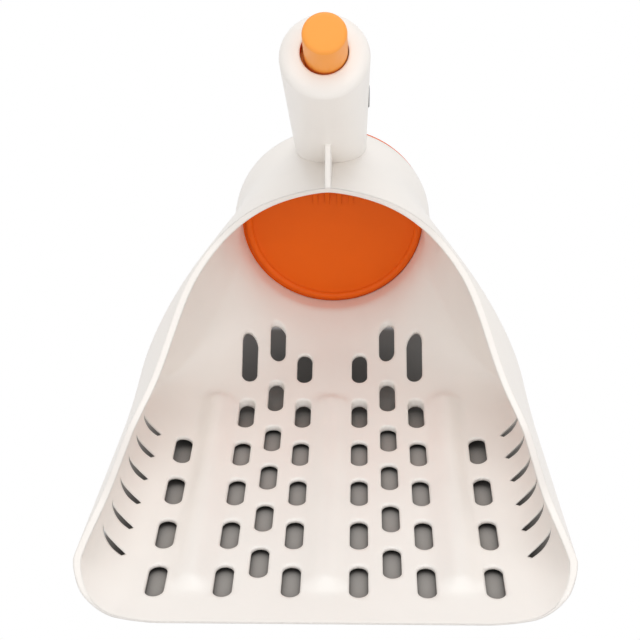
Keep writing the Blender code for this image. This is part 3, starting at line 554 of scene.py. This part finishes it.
def sieve_cutter():
    bm = bmesh.new()
    for column, stagger, count, last_length in SLOT_COLUMNS:
        for side in (-1, 1):
            for k in range(count):
                near = SLOT_FIRST_Y + stagger + SLOT_PITCH * k
                add_slot(bm, side * column, near, SLOT_LENGTH if k < count - 1 else last_length)
    for side in (-1, 1):
        for k in range(SLIT_COUNT):
            start = (SLIT_INNER_X - SLIT_CONVERGE * k, SLIT_FIRST_Y + SLIT_PITCH * k)
            outline = slit_outline(start, 1.0 - SLIT_SHRINK * k)
            rings = []
            for z in SLIT_CUT_Z:
                down = SLIT_LEVEL_Z - z
                out = SLIT_SPREAD * down
                back = SLIT_LEAN * down
                rings.append([(side * (x + out), y + back, z) for x, y in outline])
            add_loft(bm, rings)
    return finished("sieve_cutter", bm)


def hinge_room(name, extra):
    """Box that clears the hinge's room out of the handle's foot and the spigot."""
    low = (-CUT_OVERRUN, NOTCH_Y - extra, NECK_AXIS_Z)
    high = (CUT_OVERRUN, NECK_REAR_Y + CUT_OVERRUN, HINGE.z + HINGE_ROOM + extra)
    return boxed(name, low, high)


def spigot():
    profile = [(SPIGOT_BORE_RADIUS, HANDLE_LOW), (SPIGOT_RADIUS, HANDLE_LOW),
               (SPIGOT_RADIUS, SPIGOT_TOP), (SPIGOT_BORE_RADIUS, SPIGOT_TOP)]
    tube = turned("spigot", profile, HANDLE_FRAME, hollow=True)
    cut(tube, neck_rod("spigot_foot_cutter", MID_WALL_RADIUS))
    cut(tube, hinge_room("spigot_notch_cutter", GAP))
    return tube


def hinge_lugs():
    foot_z = NECK_AXIS_Z + math.sqrt(MID_WALL_RADIUS ** 2 - LUG_X[1] ** 2)
    inset_y = NECK_REAR_Y - SINK
    round_end = arc((HINGE.y, HINGE.z), BARREL_RADIUS, *LUG_ARC, LUG_STEPS)
    outline = [(LUG_FOOT_Y, foot_z), (inset_y, foot_z), (inset_y, HINGE.z - BARREL_RADIUS)]
    outline += round_end + [(LUG_FOOT_Y, NECK_TOP_Z - SINK)]
    bm = bmesh.new()
    for side in (-1, 1):
        add_prism(bm, outline, side * LUG_X[0], side * LUG_X[1])
    return finished("hinge_lugs", bm)


def on_handle(along, out):
    """The (y, z) of a point along the handle's axis and out from it."""
    point = HANDLE_FRAME @ Vector((0.0, out, along))
    return (point.y, point.z)


def handle_radius(along):
    """Radius of the tapering handle."""
    return mix(HANDLE_RADIUS, HANDLE_TOP_RADIUS, along / (HANDLE_LENGTH - HANDLE_END_RISE))


def gusset_rib():
    sunk = NECK_TOP_Z - WALL / 2
    low = (HANDLE_RADIUS + GAP) * math.tan(HANDLE_TILT)
    high = low + GUSSET_TOP / math.cos(HANDLE_TILT)
    foot, top = [on_handle(along, FOOT_SINK - handle_radius(along)) for along in (low, high)]
    slope = (top[0] - foot[0]) / (top[1] - foot[1])
    outline = [(GUSSET_FRONT_Y, sunk), (foot[0] - slope * WALL / 2, sunk), top, (GUSSET_FRONT_Y, NECK_TOP_Z)]
    bm = bmesh.new()
    add_prism(bm, outline, -GUSSET_THICKNESS / 2, GUSSET_THICKNESS / 2)
    return finished("gusset_rib", bm)


def pin_hole(name, half_length):
    radius = PIN_RADIUS + PIN_CLEARANCE
    ends = [(radius, -half_length), (radius, half_length)]
    return turned(name, ends, FLAP_FRAME, steps=PIN_STEPS, lay=ALONG_X)


def build_pan():
    bm = bmesh.new()
    stations = [*np.linspace(*PAN_Y, STATIONS)]
    outer = [pan_ring(y, edge_inset(y), underside_rise) for y in stations]
    inner = [pan_ring(y, WALL, ridge_rise) for y in stations]
    add_loft(bm, outer + inner[::-1], wrap=True)
    pan = finished("pan_shell", bm)
    join(pan, spigot())
    join(pan, hinge_lugs())
    join(pan, gusset_rib())
    slot_low = (-LEVER_SLOT_HALF_WIDTH, LEVER_SLOT_FRONT_Y, NECK_TOP_Z - WALL - CUT_MARGIN)
    slot_high = (LEVER_SLOT_HALF_WIDTH, NECK_REAR_Y + CUT_MARGIN, NECK_TOP_Z + LEVER_SLOT_RISE)
    cut(pan, boxed("lever_slot_cutter", slot_low, slot_high))
    cut(pan, pin_hole("lug_pin_hole", LUG_X[1] + CUT_MARGIN))
    cut(pan, rim_cutter())
    cut(pan, sieve_cutter())
    return baked(pan)


# Handle pieces
def pad_ring(along, out, radius_low, radius_high, edge):
    """Section of a curved pad across the handle, with its outer edges eased."""
    middle = (PAD_LENGTH[0] + PAD_LENGTH[1]) / 2
    half = (PAD_LENGTH[1] - PAD_LENGTH[0]) / 2
    past = min(max(abs(along - middle) - (half - PAD_CORNER), 0.0), PAD_CORNER) / PAD_CORNER
    trim = PAD_CORNER * (1.0 - math.sqrt(max(1.0 - past ** 2, 0.0)))
    wide = PAD_HALF_ANGLE - (trim - out) / HANDLE_RADIUS
    angles = [mix(-wide, wide, k / PAD_ARC_STEPS) for k in range(PAD_ARC_STEPS + 1)]
    ring = []
    for k, angle in enumerate(angles):
        radius = radius_high - (edge if k in (0, PAD_ARC_STEPS) else 0.0)
        ring.append((radius * math.sin(angle), radius * math.cos(angle), along))
    for angle in reversed(angles):
        ring.append((radius_low * math.sin(angle), radius_low * math.cos(angle), along))
    return ring


def pad_body(name, out, radius_low, radius_high, edge):
    """The pad, or with a clearance all round the recess that takes it."""
    low, high = PAD_LENGTH
    share = [1.0 - math.cos(math.pi / 2 * k / PAD_END_STEPS) for k in range(PAD_END_STEPS + 1)]
    foot = [low + PAD_CORNER * s for s in share]
    head = [high - PAD_CORNER * s for s in reversed(share)]
    rings = [pad_ring(along, out, radius_low, radius_high, edge) for along in foot + head]
    rings[0] = [(x, y, low - out) for x, y, z in pad_ring(low, out, radius_low, radius_high - edge, edge)]
    rings[-1] = [(x, y, high + out) for x, y, z in pad_ring(high, out, radius_low, radius_high - edge, edge)]
    bm = bmesh.new()
    add_loft(bm, rings)
    return finished(name, bm, HANDLE_FRAME)


def build_handle():
    shoulder = HANDLE_LENGTH - HANDLE_END_RISE
    round_off = arc((0.0, 0.0), 1.0, 0.0, HANDLE_DOME_ARC, HANDLE_DOME_STEPS)
    shift = HANDLE_TOP_RADIUS - HANDLE_END_ROUND
    dome = [(shift + HANDLE_END_ROUND * out, shoulder + HANDLE_END_RISE * up) for out, up in round_off]
    profile = [(HANDLE_BORE_RADIUS, HANDLE_LOW), (HANDLE_RADIUS, HANDLE_LOW), (HANDLE_RADIUS, 0.0)] + dome
    profile += [(HANDLE_HOLE_RADIUS, HANDLE_LENGTH - HANDLE_HOLE_DIP),
                (HANDLE_HOLE_RADIUS, HANDLE_LENGTH - HANDLE_END_WALL),
                (HANDLE_BORE_RADIUS, HANDLE_LENGTH - HANDLE_END_WALL)]
    handle = turned("handle_shell", profile, HANDLE_FRAME, hollow=True)
    cut(handle, neck_rod("handle_foot_cutter", NECK_RADIUS - FOOT_SINK))
    cut(handle, hinge_room("handle_notch_cutter", 0.0))
    cut(handle, pad_body("pad_recess_cutter", GAP, PAD_RECESS_RADIUS, HANDLE_RADIUS + CUT_MARGIN, 0.0))
    return baked(handle)


def build_pad():
    return baked(pad_body("rubber_pad", 0.0, PAD_RECESS_RADIUS + GAP, HANDLE_RADIUS + PAD_PROUD, PAD_EDGE))


def flange_top():
    return HANDLE_LENGTH - HANDLE_END_WALL - GAP


def build_button():
    low = flange_top() - BUTTON_FLANGE_THICKNESS
    edge_centre = (BUTTON_RADIUS - BUTTON_EDGE, BUTTON_TOP - BUTTON_EDGE)
    edge = arc(edge_centre, BUTTON_EDGE, 0.0, 90.0, BUTTON_EDGE_STEPS)
    profile = [(BUTTON_CAP_RADII[0], low), (BUTTON_FLANGE_RADIUS, low),
               (BUTTON_FLANGE_RADIUS, flange_top()), (BUTTON_RADIUS, flange_top())]
    profile += edge + [(BUTTON_CAP_RADII[1], BUTTON_TOP)]
    aside = Matrix.Translation((BUTTON_SIDE_PLAY, 0.0, 0.0))
    return baked(turned("button_cap", profile, lay=HANDLE_FRAME @ aside))


# Springs
def swept(name, points, radius, place):
    """One unbroken round tube along a path."""
    path = [Vector(p) for p in points]
    normal = None
    rings = []
    for i, point in enumerate(path):
        ahead = path[min(i + 1, len(path) - 1)]
        behind = path[max(i - 1, 0)]
        tangent = (ahead - behind).normalized()
        if normal is None:
            normal = tangent.orthogonal()
        normal = (normal - tangent * normal.dot(tangent)).normalized()
        side = tangent.cross(normal)
        turns = [2.0 * math.pi * k / WIRE_SIDES for k in range(WIRE_SIDES)]
        rings.append([point + normal * radius * math.cos(t) + side * radius * math.sin(t) for t in turns])
    bm = bmesh.new()
    add_loft(bm, rings)
    return baked(finished(name, bm, place))


def build_return_spring():
    first = SPIGOT_TOP + GAP + BUSH_FLANGE_THICKNESS + GAP + SPRING_WIRE / 2
    last = flange_top() - BUTTON_FLANGE_THICKNESS - GAP - SPRING_WIRE / 2
    count = SPRING_TURNS * CURL_STEPS
    path = []
    for k in range(count + 1):
        turn = 2.0 * math.pi * k / CURL_STEPS
        across = (SPRING_MEAN_RADIUS * math.cos(turn), SPRING_MEAN_RADIUS * math.sin(turn))
        path.append((*across, mix(first, last, k / count)))
    spring = swept("button_spring", path, SPRING_WIRE / 2, HANDLE_FRAME)
    axis = HANDLE_FRAME.to_3x3() @ Vector((0.0, 0.0, 1.0))
    anchor = HANDLE_FRAME @ Vector((0.0, 0.0, first - SPRING_WIRE / 2))
    keep = 1.0 - BUTTON_TRAVEL / (last - first + SPRING_WIRE)
    return spring, axis, anchor, keep


def tangent_angle(point, radius, side):
    """Angle round a coil at which a straight leg leaves it for a point."""
    away = math.hypot(*point)
    return math.atan2(point[1], point[0]) + side * math.acos(radius / away)


def build_flap_spring():
    radius = TORSION_MEAN_RADIUS
    clear = GAP + TORSION_WIRE / 2
    lid_back = NECK_REAR_Y + GAP + LID_THICKNESS - HINGE.y
    lid_end = (lid_back + clear, -TORSION_LID_DROP)
    neck_z = NECK_AXIS_Z + math.sqrt(NECK_RADIUS ** 2 - TORSION_NECK_X ** 2) + clear
    neck_end = (TORSION_NECK_Y - HINGE.y, neck_z - HINGE.z)
    upper = tangent_angle(neck_end, radius, -1.0) % (2.0 * math.pi)
    end = tangent_angle(lid_end, radius, 1.0) % (2.0 * math.pi) - 2.0 * math.pi
    total = (upper - end) + 2.0 * math.pi * (TORSION_TURNS - 1)
    count = int(round(total / (2.0 * math.pi) * CURL_STEPS))
    leave = (radius * math.cos(upper), radius * math.sin(upper))
    bend = (mix(leave[0], neck_end[0], TORSION_BEND), mix(leave[1], neck_end[1], TORSION_BEND))
    path = [(TORSION_NECK_X, *neck_end), (-TORSION_HALF_SPAN, *bend)]
    for k in range(count + 1):
        turn = upper - total * k / count
        x = mix(-TORSION_HALF_SPAN, TORSION_HALF_SPAN, k / count)
        path.append((x, radius * math.cos(turn), radius * math.sin(turn)))
    path.append((TORSION_HALF_SPAN, *lid_end))
    return swept("lid_spring", path, TORSION_WIRE / 2, FLAP_FRAME)


# Flap pieces, measured from the hinge
def knob_place():
    """The (y, z) of the lever's knob."""
    angle = HANDLE_TILT + math.pi - OPEN_ANGLE / 2
    return Vector((LEVER_RADIUS * math.cos(angle), LEVER_RADIUS * math.sin(angle)))


def lid_face(front):
    """Inner face of the flap: a shallow dome inside a round bead."""
    inner, outer = BEAD_RADII
    points = []
    for k in range(LID_DOME_STEPS + 1):
        radius = mix(TURNED_CAP_RADIUS, inner, k / LID_DOME_STEPS)
        points.append((radius, front - LID_DOME * (1.0 - (radius / inner) ** 2)))
    middle = (inner + outer) / 2
    half = (outer - inner) / 2
    for out, up in arc((0.0, 0.0), 1.0, 180.0, 0.0, BEAD_STEPS)[1:]:
        points.append((middle + half * out, front - BEAD_HEIGHT * up))
    return points


def build_flap():
    front = NECK_REAR_Y + GAP - HINGE.y
    back = front + LID_THICKNESS
    drop = NECK_AXIS_Z - HINGE.z
    inner_rim = LID_RADIUS - LID_RIM_WIDTH
    profile = lid_face(front) + [(LID_RADIUS, front), (LID_RADIUS, back + LID_RIM_HEIGHT),
                                 (inner_rim, back + LID_RIM_HEIGHT), (inner_rim, back),
                                 (TURNED_CAP_RADIUS, back)]
    shift = Matrix.Translation((FLAP_SIDE_PLAY, 0.0, 0.0))
    flap = turned("flap_lid", profile, FLAP_FRAME, steps=BIG_STEPS,
                  lay=shift @ Matrix.Translation((0.0, 0.0, drop)) @ ALONG_Y)
    join(flap, flap_barrels(shift, front, back, drop))
    join(flap, flap_ribs(shift, front, drop))
    lay = shift @ Matrix.Translation((0.0, *knob_place())) @ ALONG_X
    ends = [(KNOB_RADIUS, -KNOB_HALF_LENGTH), (KNOB_RADIUS, KNOB_HALF_LENGTH)]
    join(flap, turned("lever_knob", ends, FLAP_FRAME, steps=KNOB_STEPS, lay=lay))
    cut(flap, pin_hole("flap_pin_hole", BARREL_X[1] + CUT_MARGIN))
    return baked(flap)


def flap_barrels(shift, front, back, drop):
    web_low = drop + LID_RADIUS - WEB_DEPTH
    web_top = drop + LID_RADIUS - WEB_INSET
    web_front = front + SMALL_SINK
    rim_back = back + LID_RIM_HEIGHT - SMALL_SINK
    outline = [(web_front, web_low), (web_front, web_top)]
    outline += arc((0.0, 0.0), BARREL_RADIUS, *BARREL_ARC, BARREL_STEPS)
    outline += [(rim_back, web_low + WEB_SLOPE), (back - SMALL_SINK, web_low)]
    bm = bmesh.new()
    for side in (-1, 1):
        add_prism(bm, outline, side * BARREL_X[0], side * BARREL_X[1])
    bm.transform(shift)
    return finished("flap_barrels", bm, FLAP_FRAME)


def flap_ribs(shift, front, drop):
    low = RIB_LOW_Z - HINGE.z
    inside = front + LID_THICKNESS / 2
    reach = front - RIB_REACH
    foot = [(inside, low), (front - RIB_FOOT, low)]
    knob = knob_place()
    arm_end = knob.x + SINK
    arm_low = knob.y - KNOB_RADIUS + ARM_LOW_RISE
    arm_top = knob.y + ARM_TOP_RISE
    bm = bmesh.new()
    for x in RIB_X:
        if abs(x) < LEVER_SLOT_HALF_WIDTH:
            outline = foot + [(reach, knob.y - RIB_KNEE[1]), (arm_end, arm_low),
                              (arm_end, arm_top), (inside, arm_top)]
        else:
            top = drop + math.sqrt(BORE_RADIUS ** 2 - (abs(x) + RIB_WIDTH) ** 2) - RIB_TOP_ROOM
            outline = foot + [(reach, top - RIB_KNEE[0]), (reach, top), (inside, top)]
        add_prism(bm, outline, x - RIB_WIDTH / 2, x + RIB_WIDTH / 2)
    bm.transform(shift)
    return finished("flap_ribs", bm, FLAP_FRAME)


# Materials
DRIFT_SCALE = 55.0
DRIFT_DETAIL = 4.0
GLOSS_SPREAD = 0.06
PLASTIC_GRAIN = 2600.0
GRAIN_DETAIL = 2.0
GRAIN_STRENGTH = 0.35
EDGE_SAMPLES = 6


def feed(tree, target, inputs):
    """Link a node's inputs to other nodes' outputs, or set them where the value is a constant."""
    for key, value in inputs.items():
        if isinstance(value, bpy.types.NodeSocket):
            tree.links.new(value, target.inputs[key])
        else:
            target.inputs[key].default_value = value


def node(tree, kind, inputs, **settings):
    """Add a node and give its outputs."""
    made = tree.nodes.new("ShaderNode" + kind)
    for key, value in settings.items():
        setattr(made, key, value)
    feed(tree, made, inputs)
    return made.outputs


def new_material(name):
    """A material with its node tree, its shader and the object's coordinates."""
    material = bpy.data.materials.new(name)
    material.use_nodes = True
    tree = material.node_tree
    place = node(tree, "TexCoord", {})["Object"]
    return material, tree, tree.nodes["Principled BSDF"], place


def moulded(name, colour, roughness, depth, grain=PLASTIC_GRAIN, mottle=0.03, edge=0.0006,
            metallic=0.0, shine=0.5):
    """A finish with slow colour drift, uneven gloss, fine surface grain and eased edges."""
    material, tree, shader, place = new_material(name)
    drift = node(tree, "TexNoise", {"Vector": place, "Scale": DRIFT_SCALE, "Detail": DRIFT_DETAIL})["Fac"]
    dark = (*[c * (1.0 - mottle) for c in colour], 1.0)
    pale = (*[min(c * (1.0 + mottle), 1.0) for c in colour], 1.0)
    tint = node(tree, "MixRGB", {"Fac": drift, "Color1": dark, "Color2": pale})
    gloss = node(tree, "MapRange", {"Value": drift, "To Min": roughness - GLOSS_SPREAD,
                                    "To Max": roughness + GLOSS_SPREAD})
    texture = node(tree, "TexNoise", {"Vector": place, "Scale": grain, "Detail": GRAIN_DETAIL})
    eased = node(tree, "Bevel", {"Radius": edge}, samples=EDGE_SAMPLES)
    bump = node(tree, "Bump", {"Strength": GRAIN_STRENGTH, "Distance": depth,
                               "Height": texture["Fac"], "Normal": eased["Normal"]})
    feed(tree, shader, {"Base Color": tint["Color"], "Roughness": gloss["Result"], "Normal": bump["Normal"],
                        "Metallic": metallic, "Specular IOR Level": shine})
    return material


def painted(obj, material):
    obj.data.materials.clear()
    obj.data.materials.append(material)
    return obj


SHELL = moulded("shell_plastic", (0.925, 0.880, 0.833), roughness=0.36, depth=0.00004, edge=0.0010, shine=0.4)
BUTTON = moulded("button_plastic", (0.98, 0.365, 0.058), roughness=0.40, depth=0.00003, shine=0.35)
FLAP = moulded("flap_plastic", (0.89, 0.135, 0.003), roughness=0.45, depth=0.00004, shine=0.2)
# Painted orange bounce light for the wall of the button's hole in the white handle
PAINTED_BOUNCE = moulded("painted_orange_bounce", (0.90, 0.16, 0.012), roughness=0.45, depth=0.00003, shine=0.2)
INNER = moulded("inner_plastic", (0.75, 0.73, 0.68), roughness=0.45, depth=0.00004)
RUBBER = moulded("grip_rubber", (0.20, 0.20, 0.20), roughness=0.70, depth=0.00012, grain=1500.0, mottle=0.10)
STEEL = moulded("screw_steel", (0.62, 0.62, 0.64), roughness=0.32, depth=0.00001, grain=5000.0,
                mottle=0.05, edge=0.0002, metallic=1.0)
WIRE = moulded("spring_steel", (0.60, 0.60, 0.62), roughness=0.28, depth=0.00001, grain=6000.0,
               mottle=0.06, edge=0.0001, metallic=1.0)


# Dress the frame
def dress(piece, material, body, cad_node):
    painted(piece, material)
    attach(piece, body)
    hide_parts(cad_node)
    return piece


def paint_hole_bounce(handle):
    """Paints the wall of the button's hole orange: painted bounce light for the orange glow that shows beside
    the button.
    """
    handle.data.materials.append(PAINTED_BOUNCE)
    for face in handle.data.polygons:
        reach = math.hypot(face.center.x, face.center.y)
        if reach < HANDLE_HOLE_RADIUS and face.center.z > HANDLE_LENGTH - HANDLE_END_WALL:
            face.material_index = 1


dress(build_pan(), SHELL, "scoop", "scoop_pan")
# The wall of the button's hole gets painted orange bounce light from the button
paint_hole_bounce(dress(build_handle(), SHELL, "scoop", "handle"))
dress(build_pad(), RUBBER, "scoop", "grip_pad")
dress(build_button(), BUTTON, "plunger", "push_button")
dress(build_flap(), FLAP, "flap", "flap_door")
remove_cutters()

button_spring, spring_axis, spring_anchor, spring_keep = build_return_spring()
dress(button_spring, WIRE, "scoop", "return_spring")
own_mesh(button_spring)
lid_spring = painted(build_flap_spring(), WIRE)
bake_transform(lid_spring)
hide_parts("flap_spring")

for name, material in (("handle_screw_lower", STEEL), ("handle_screw_upper", STEEL), ("hinge_pin", STEEL),
                       ("rod_bush", INNER), ("push_rod", INNER)):
    painted(frame["nodes"][name], material)

# Stage: a pale floor that shows white away from the scoop, with painted shade under the scoop, and soft light
# from above and in front
FLOOR_Z = -0.0002
FLOOR_SIZE = 6.0
FLOOR_COLOUR = (0.86, 0.86, 0.86, 1.0)
FLOOR_ROUGHNESS = 0.9
# Painted shade on the floor, its colour darkened by ambient occlusion near the scoop: reach and samples
SHADE_PAINT_REACH = 0.010
SHADE_PAINT_SAMPLES = 16
WHITE = (1.0, 1.0, 1.0, 1.0)
AMBIENT = 0.60
AIM = (0.0, 0.03, 0.04)
# Painted shadow under the scoop, darker floor patches: centre, half size, start and end of the fade, colour
PAINTED_SHADOW_PATCHES = (((0.0, 0.016, 0.0), (0.048, 0.044, 1.0), (0.0208, 0.0240), (0.48, 0.455, 0.43, 1.0)),
                 ((0.0, 0.0985, 0.0), (0.034, 0.0185, 1.0), (0.001, 0.014), (0.13, 0.125, 0.12, 1.0)))
# Lamps: name, place, size, power
LAMPS = (("overhead", (0.05, 0.05, 1.1), 0.8, 3.3),
         ("left_box", (-0.65, -0.75, 0.42), 0.6, 1.0),
         ("right_box", (0.65, -0.75, 0.42), 0.6, 1.8),
         ("front_fill", (-0.05, -1.0, 0.50), 0.7, 1.2))


def looked_at(tree):
    """1 for rays that show the backdrop: from the camera, in a gloss or through a clear piece."""
    path = node(tree, "LightPath", {})
    mirrored = node(tree, "Math", {0: path["Is Camera Ray"], 1: path["Is Glossy Ray"]}, operation="MAXIMUM")
    clear = node(tree, "Math", {0: mirrored["Value"], 1: path["Is Transmission Ray"]}, operation="MAXIMUM")
    return clear["Value"]


def distance_from_box(tree, place, centre, half):
    """How far a place lies outside a box."""
    shifted = node(tree, "VectorMath", {0: place, 1: centre}, operation="SUBTRACT")
    size = node(tree, "VectorMath", {0: shifted["Vector"]}, operation="ABSOLUTE")
    beyond = node(tree, "VectorMath", {0: size["Vector"], 1: half}, operation="SUBTRACT")
    outside = node(tree, "VectorMath", {0: beyond["Vector"], 1: (0.0, 0.0, 0.0)}, operation="MAXIMUM")
    return node(tree, "VectorMath", {0: outside["Vector"]}, operation="LENGTH")["Value"]


def floor_material():
    material, tree, shader, place = new_material("pale_floor")
    colour = FLOOR_COLOUR
    whitened = looked_at(tree)
    # Painted shadow: the floor turns darker in patches under the scoop, and these patches don't show white
    for centre, half, fade_at, painted_shadow_colour in PAINTED_SHADOW_PATCHES:
        away = distance_from_box(tree, place, centre, half)
        fade = node(tree, "MapRange", {"Value": away, "From Min": fade_at[0], "From Max": fade_at[1]},
                    interpolation_type="SMOOTHSTEP")["Result"]
        colour = node(tree, "MixRGB", {"Fac": fade, "Color1": painted_shadow_colour, "Color2": colour})["Color"]
        whitened = node(tree, "Math", {0: whitened, 1: fade}, operation="MULTIPLY")["Value"]
    # Painted shade: the floor's colour is multiplied by ambient occlusion, darker where the scoop covers it
    occlusion_shade = node(tree, "AmbientOcclusion", {"Distance": SHADE_PAINT_REACH}, samples=SHADE_PAINT_SAMPLES)
    shade_painted_colour = node(tree, "MixRGB", {"Fac": 1.0, "Color1": colour, "Color2": occlusion_shade["AO"]},
                  blend_type="MULTIPLY")
    feed(tree, shader, {"Base Color": shade_painted_colour["Color"], "Roughness": FLOOR_ROUGHNESS,
                        "Specular IOR Level": 0.0})
    white = node(tree, "Emission", {"Color": WHITE})
    blend = node(tree, "MixShader", {"Fac": whitened, 1: shader.outputs["BSDF"], 2: white["Emission"]})
    feed(tree, tree.nodes["Material Output"], {"Surface": blend["Shader"]})
    return material


def build_floor():
    half = FLOOR_SIZE / 2
    bm = bmesh.new()
    corners = ((-half, -half), (half, -half), (half, half), (-half, half))
    bm.faces.new([bm.verts.new((x, y, 0.0)) for x, y in corners])
    floor = finished("floor", bm, Matrix.Translation((0.0, 0.0, FLOOR_Z)))
    painted(floor, floor_material())


def build_world():
    world = bpy.data.worlds.new("studio")
    bpy.context.scene.world = world
    world.use_nodes = True
    tree = world.node_tree
    tree.nodes.clear()
    fill = node(tree, "Background", {"Color": WHITE, "Strength": AMBIENT})
    white = node(tree, "Background", {"Color": WHITE})
    choose = node(tree, "MixShader", {"Fac": looked_at(tree), 1: fill["Background"], 2: white["Background"]})
    node(tree, "OutputWorld", {"Surface": choose["Shader"]})


def add_lamp(name, place, size, power):
    lamp = bpy.data.lights.new(name, "AREA")
    lamp.shape = "DISK"
    lamp.size = size
    lamp.energy = power
    obj = bpy.data.objects.new(name, lamp)
    bpy.context.scene.collection.objects.link(obj)
    obj.location = place
    obj.rotation_euler = (Vector(AIM) - Vector(place)).to_track_quat("-Z", "Y").to_euler()


# Camera: focal length and place solved from the slot grid
PHOTO_PIXELS = 640
FOCAL_PIXELS = 1300.0
SENSOR = 36.0
CLIP_START = 0.01
CAMERA_PITCH = 0.50083
CAMERA_YAW = 0.03733
CAMERA_ROLL = -0.01790
CAMERA_PLACE = (0.01114, -0.33662, 0.25403)


def build_camera():
    camera = bpy.data.cameras.new("camera")
    camera.sensor_width = SENSOR
    camera.lens = FOCAL_PIXELS / PHOTO_PIXELS * SENSOR
    camera.clip_start = CLIP_START
    obj = bpy.data.objects.new("camera", camera)
    bpy.context.scene.collection.objects.link(obj)
    look_down = Matrix.Rotation(math.pi / 2 - CAMERA_PITCH, 4, "X")
    turn = Matrix.Rotation(CAMERA_YAW, 4, "Z")
    roll = Matrix.Rotation(CAMERA_ROLL, 4, "Z")
    obj.matrix_world = Matrix.Translation(CAMERA_PLACE) @ turn @ look_down @ roll
    bpy.context.scene.camera = obj


build_floor()
build_world()
for lamp_values in LAMPS:
    add_lamp(*lamp_values)
build_camera()
bpy.context.scene.view_settings.view_transform = "Standard"
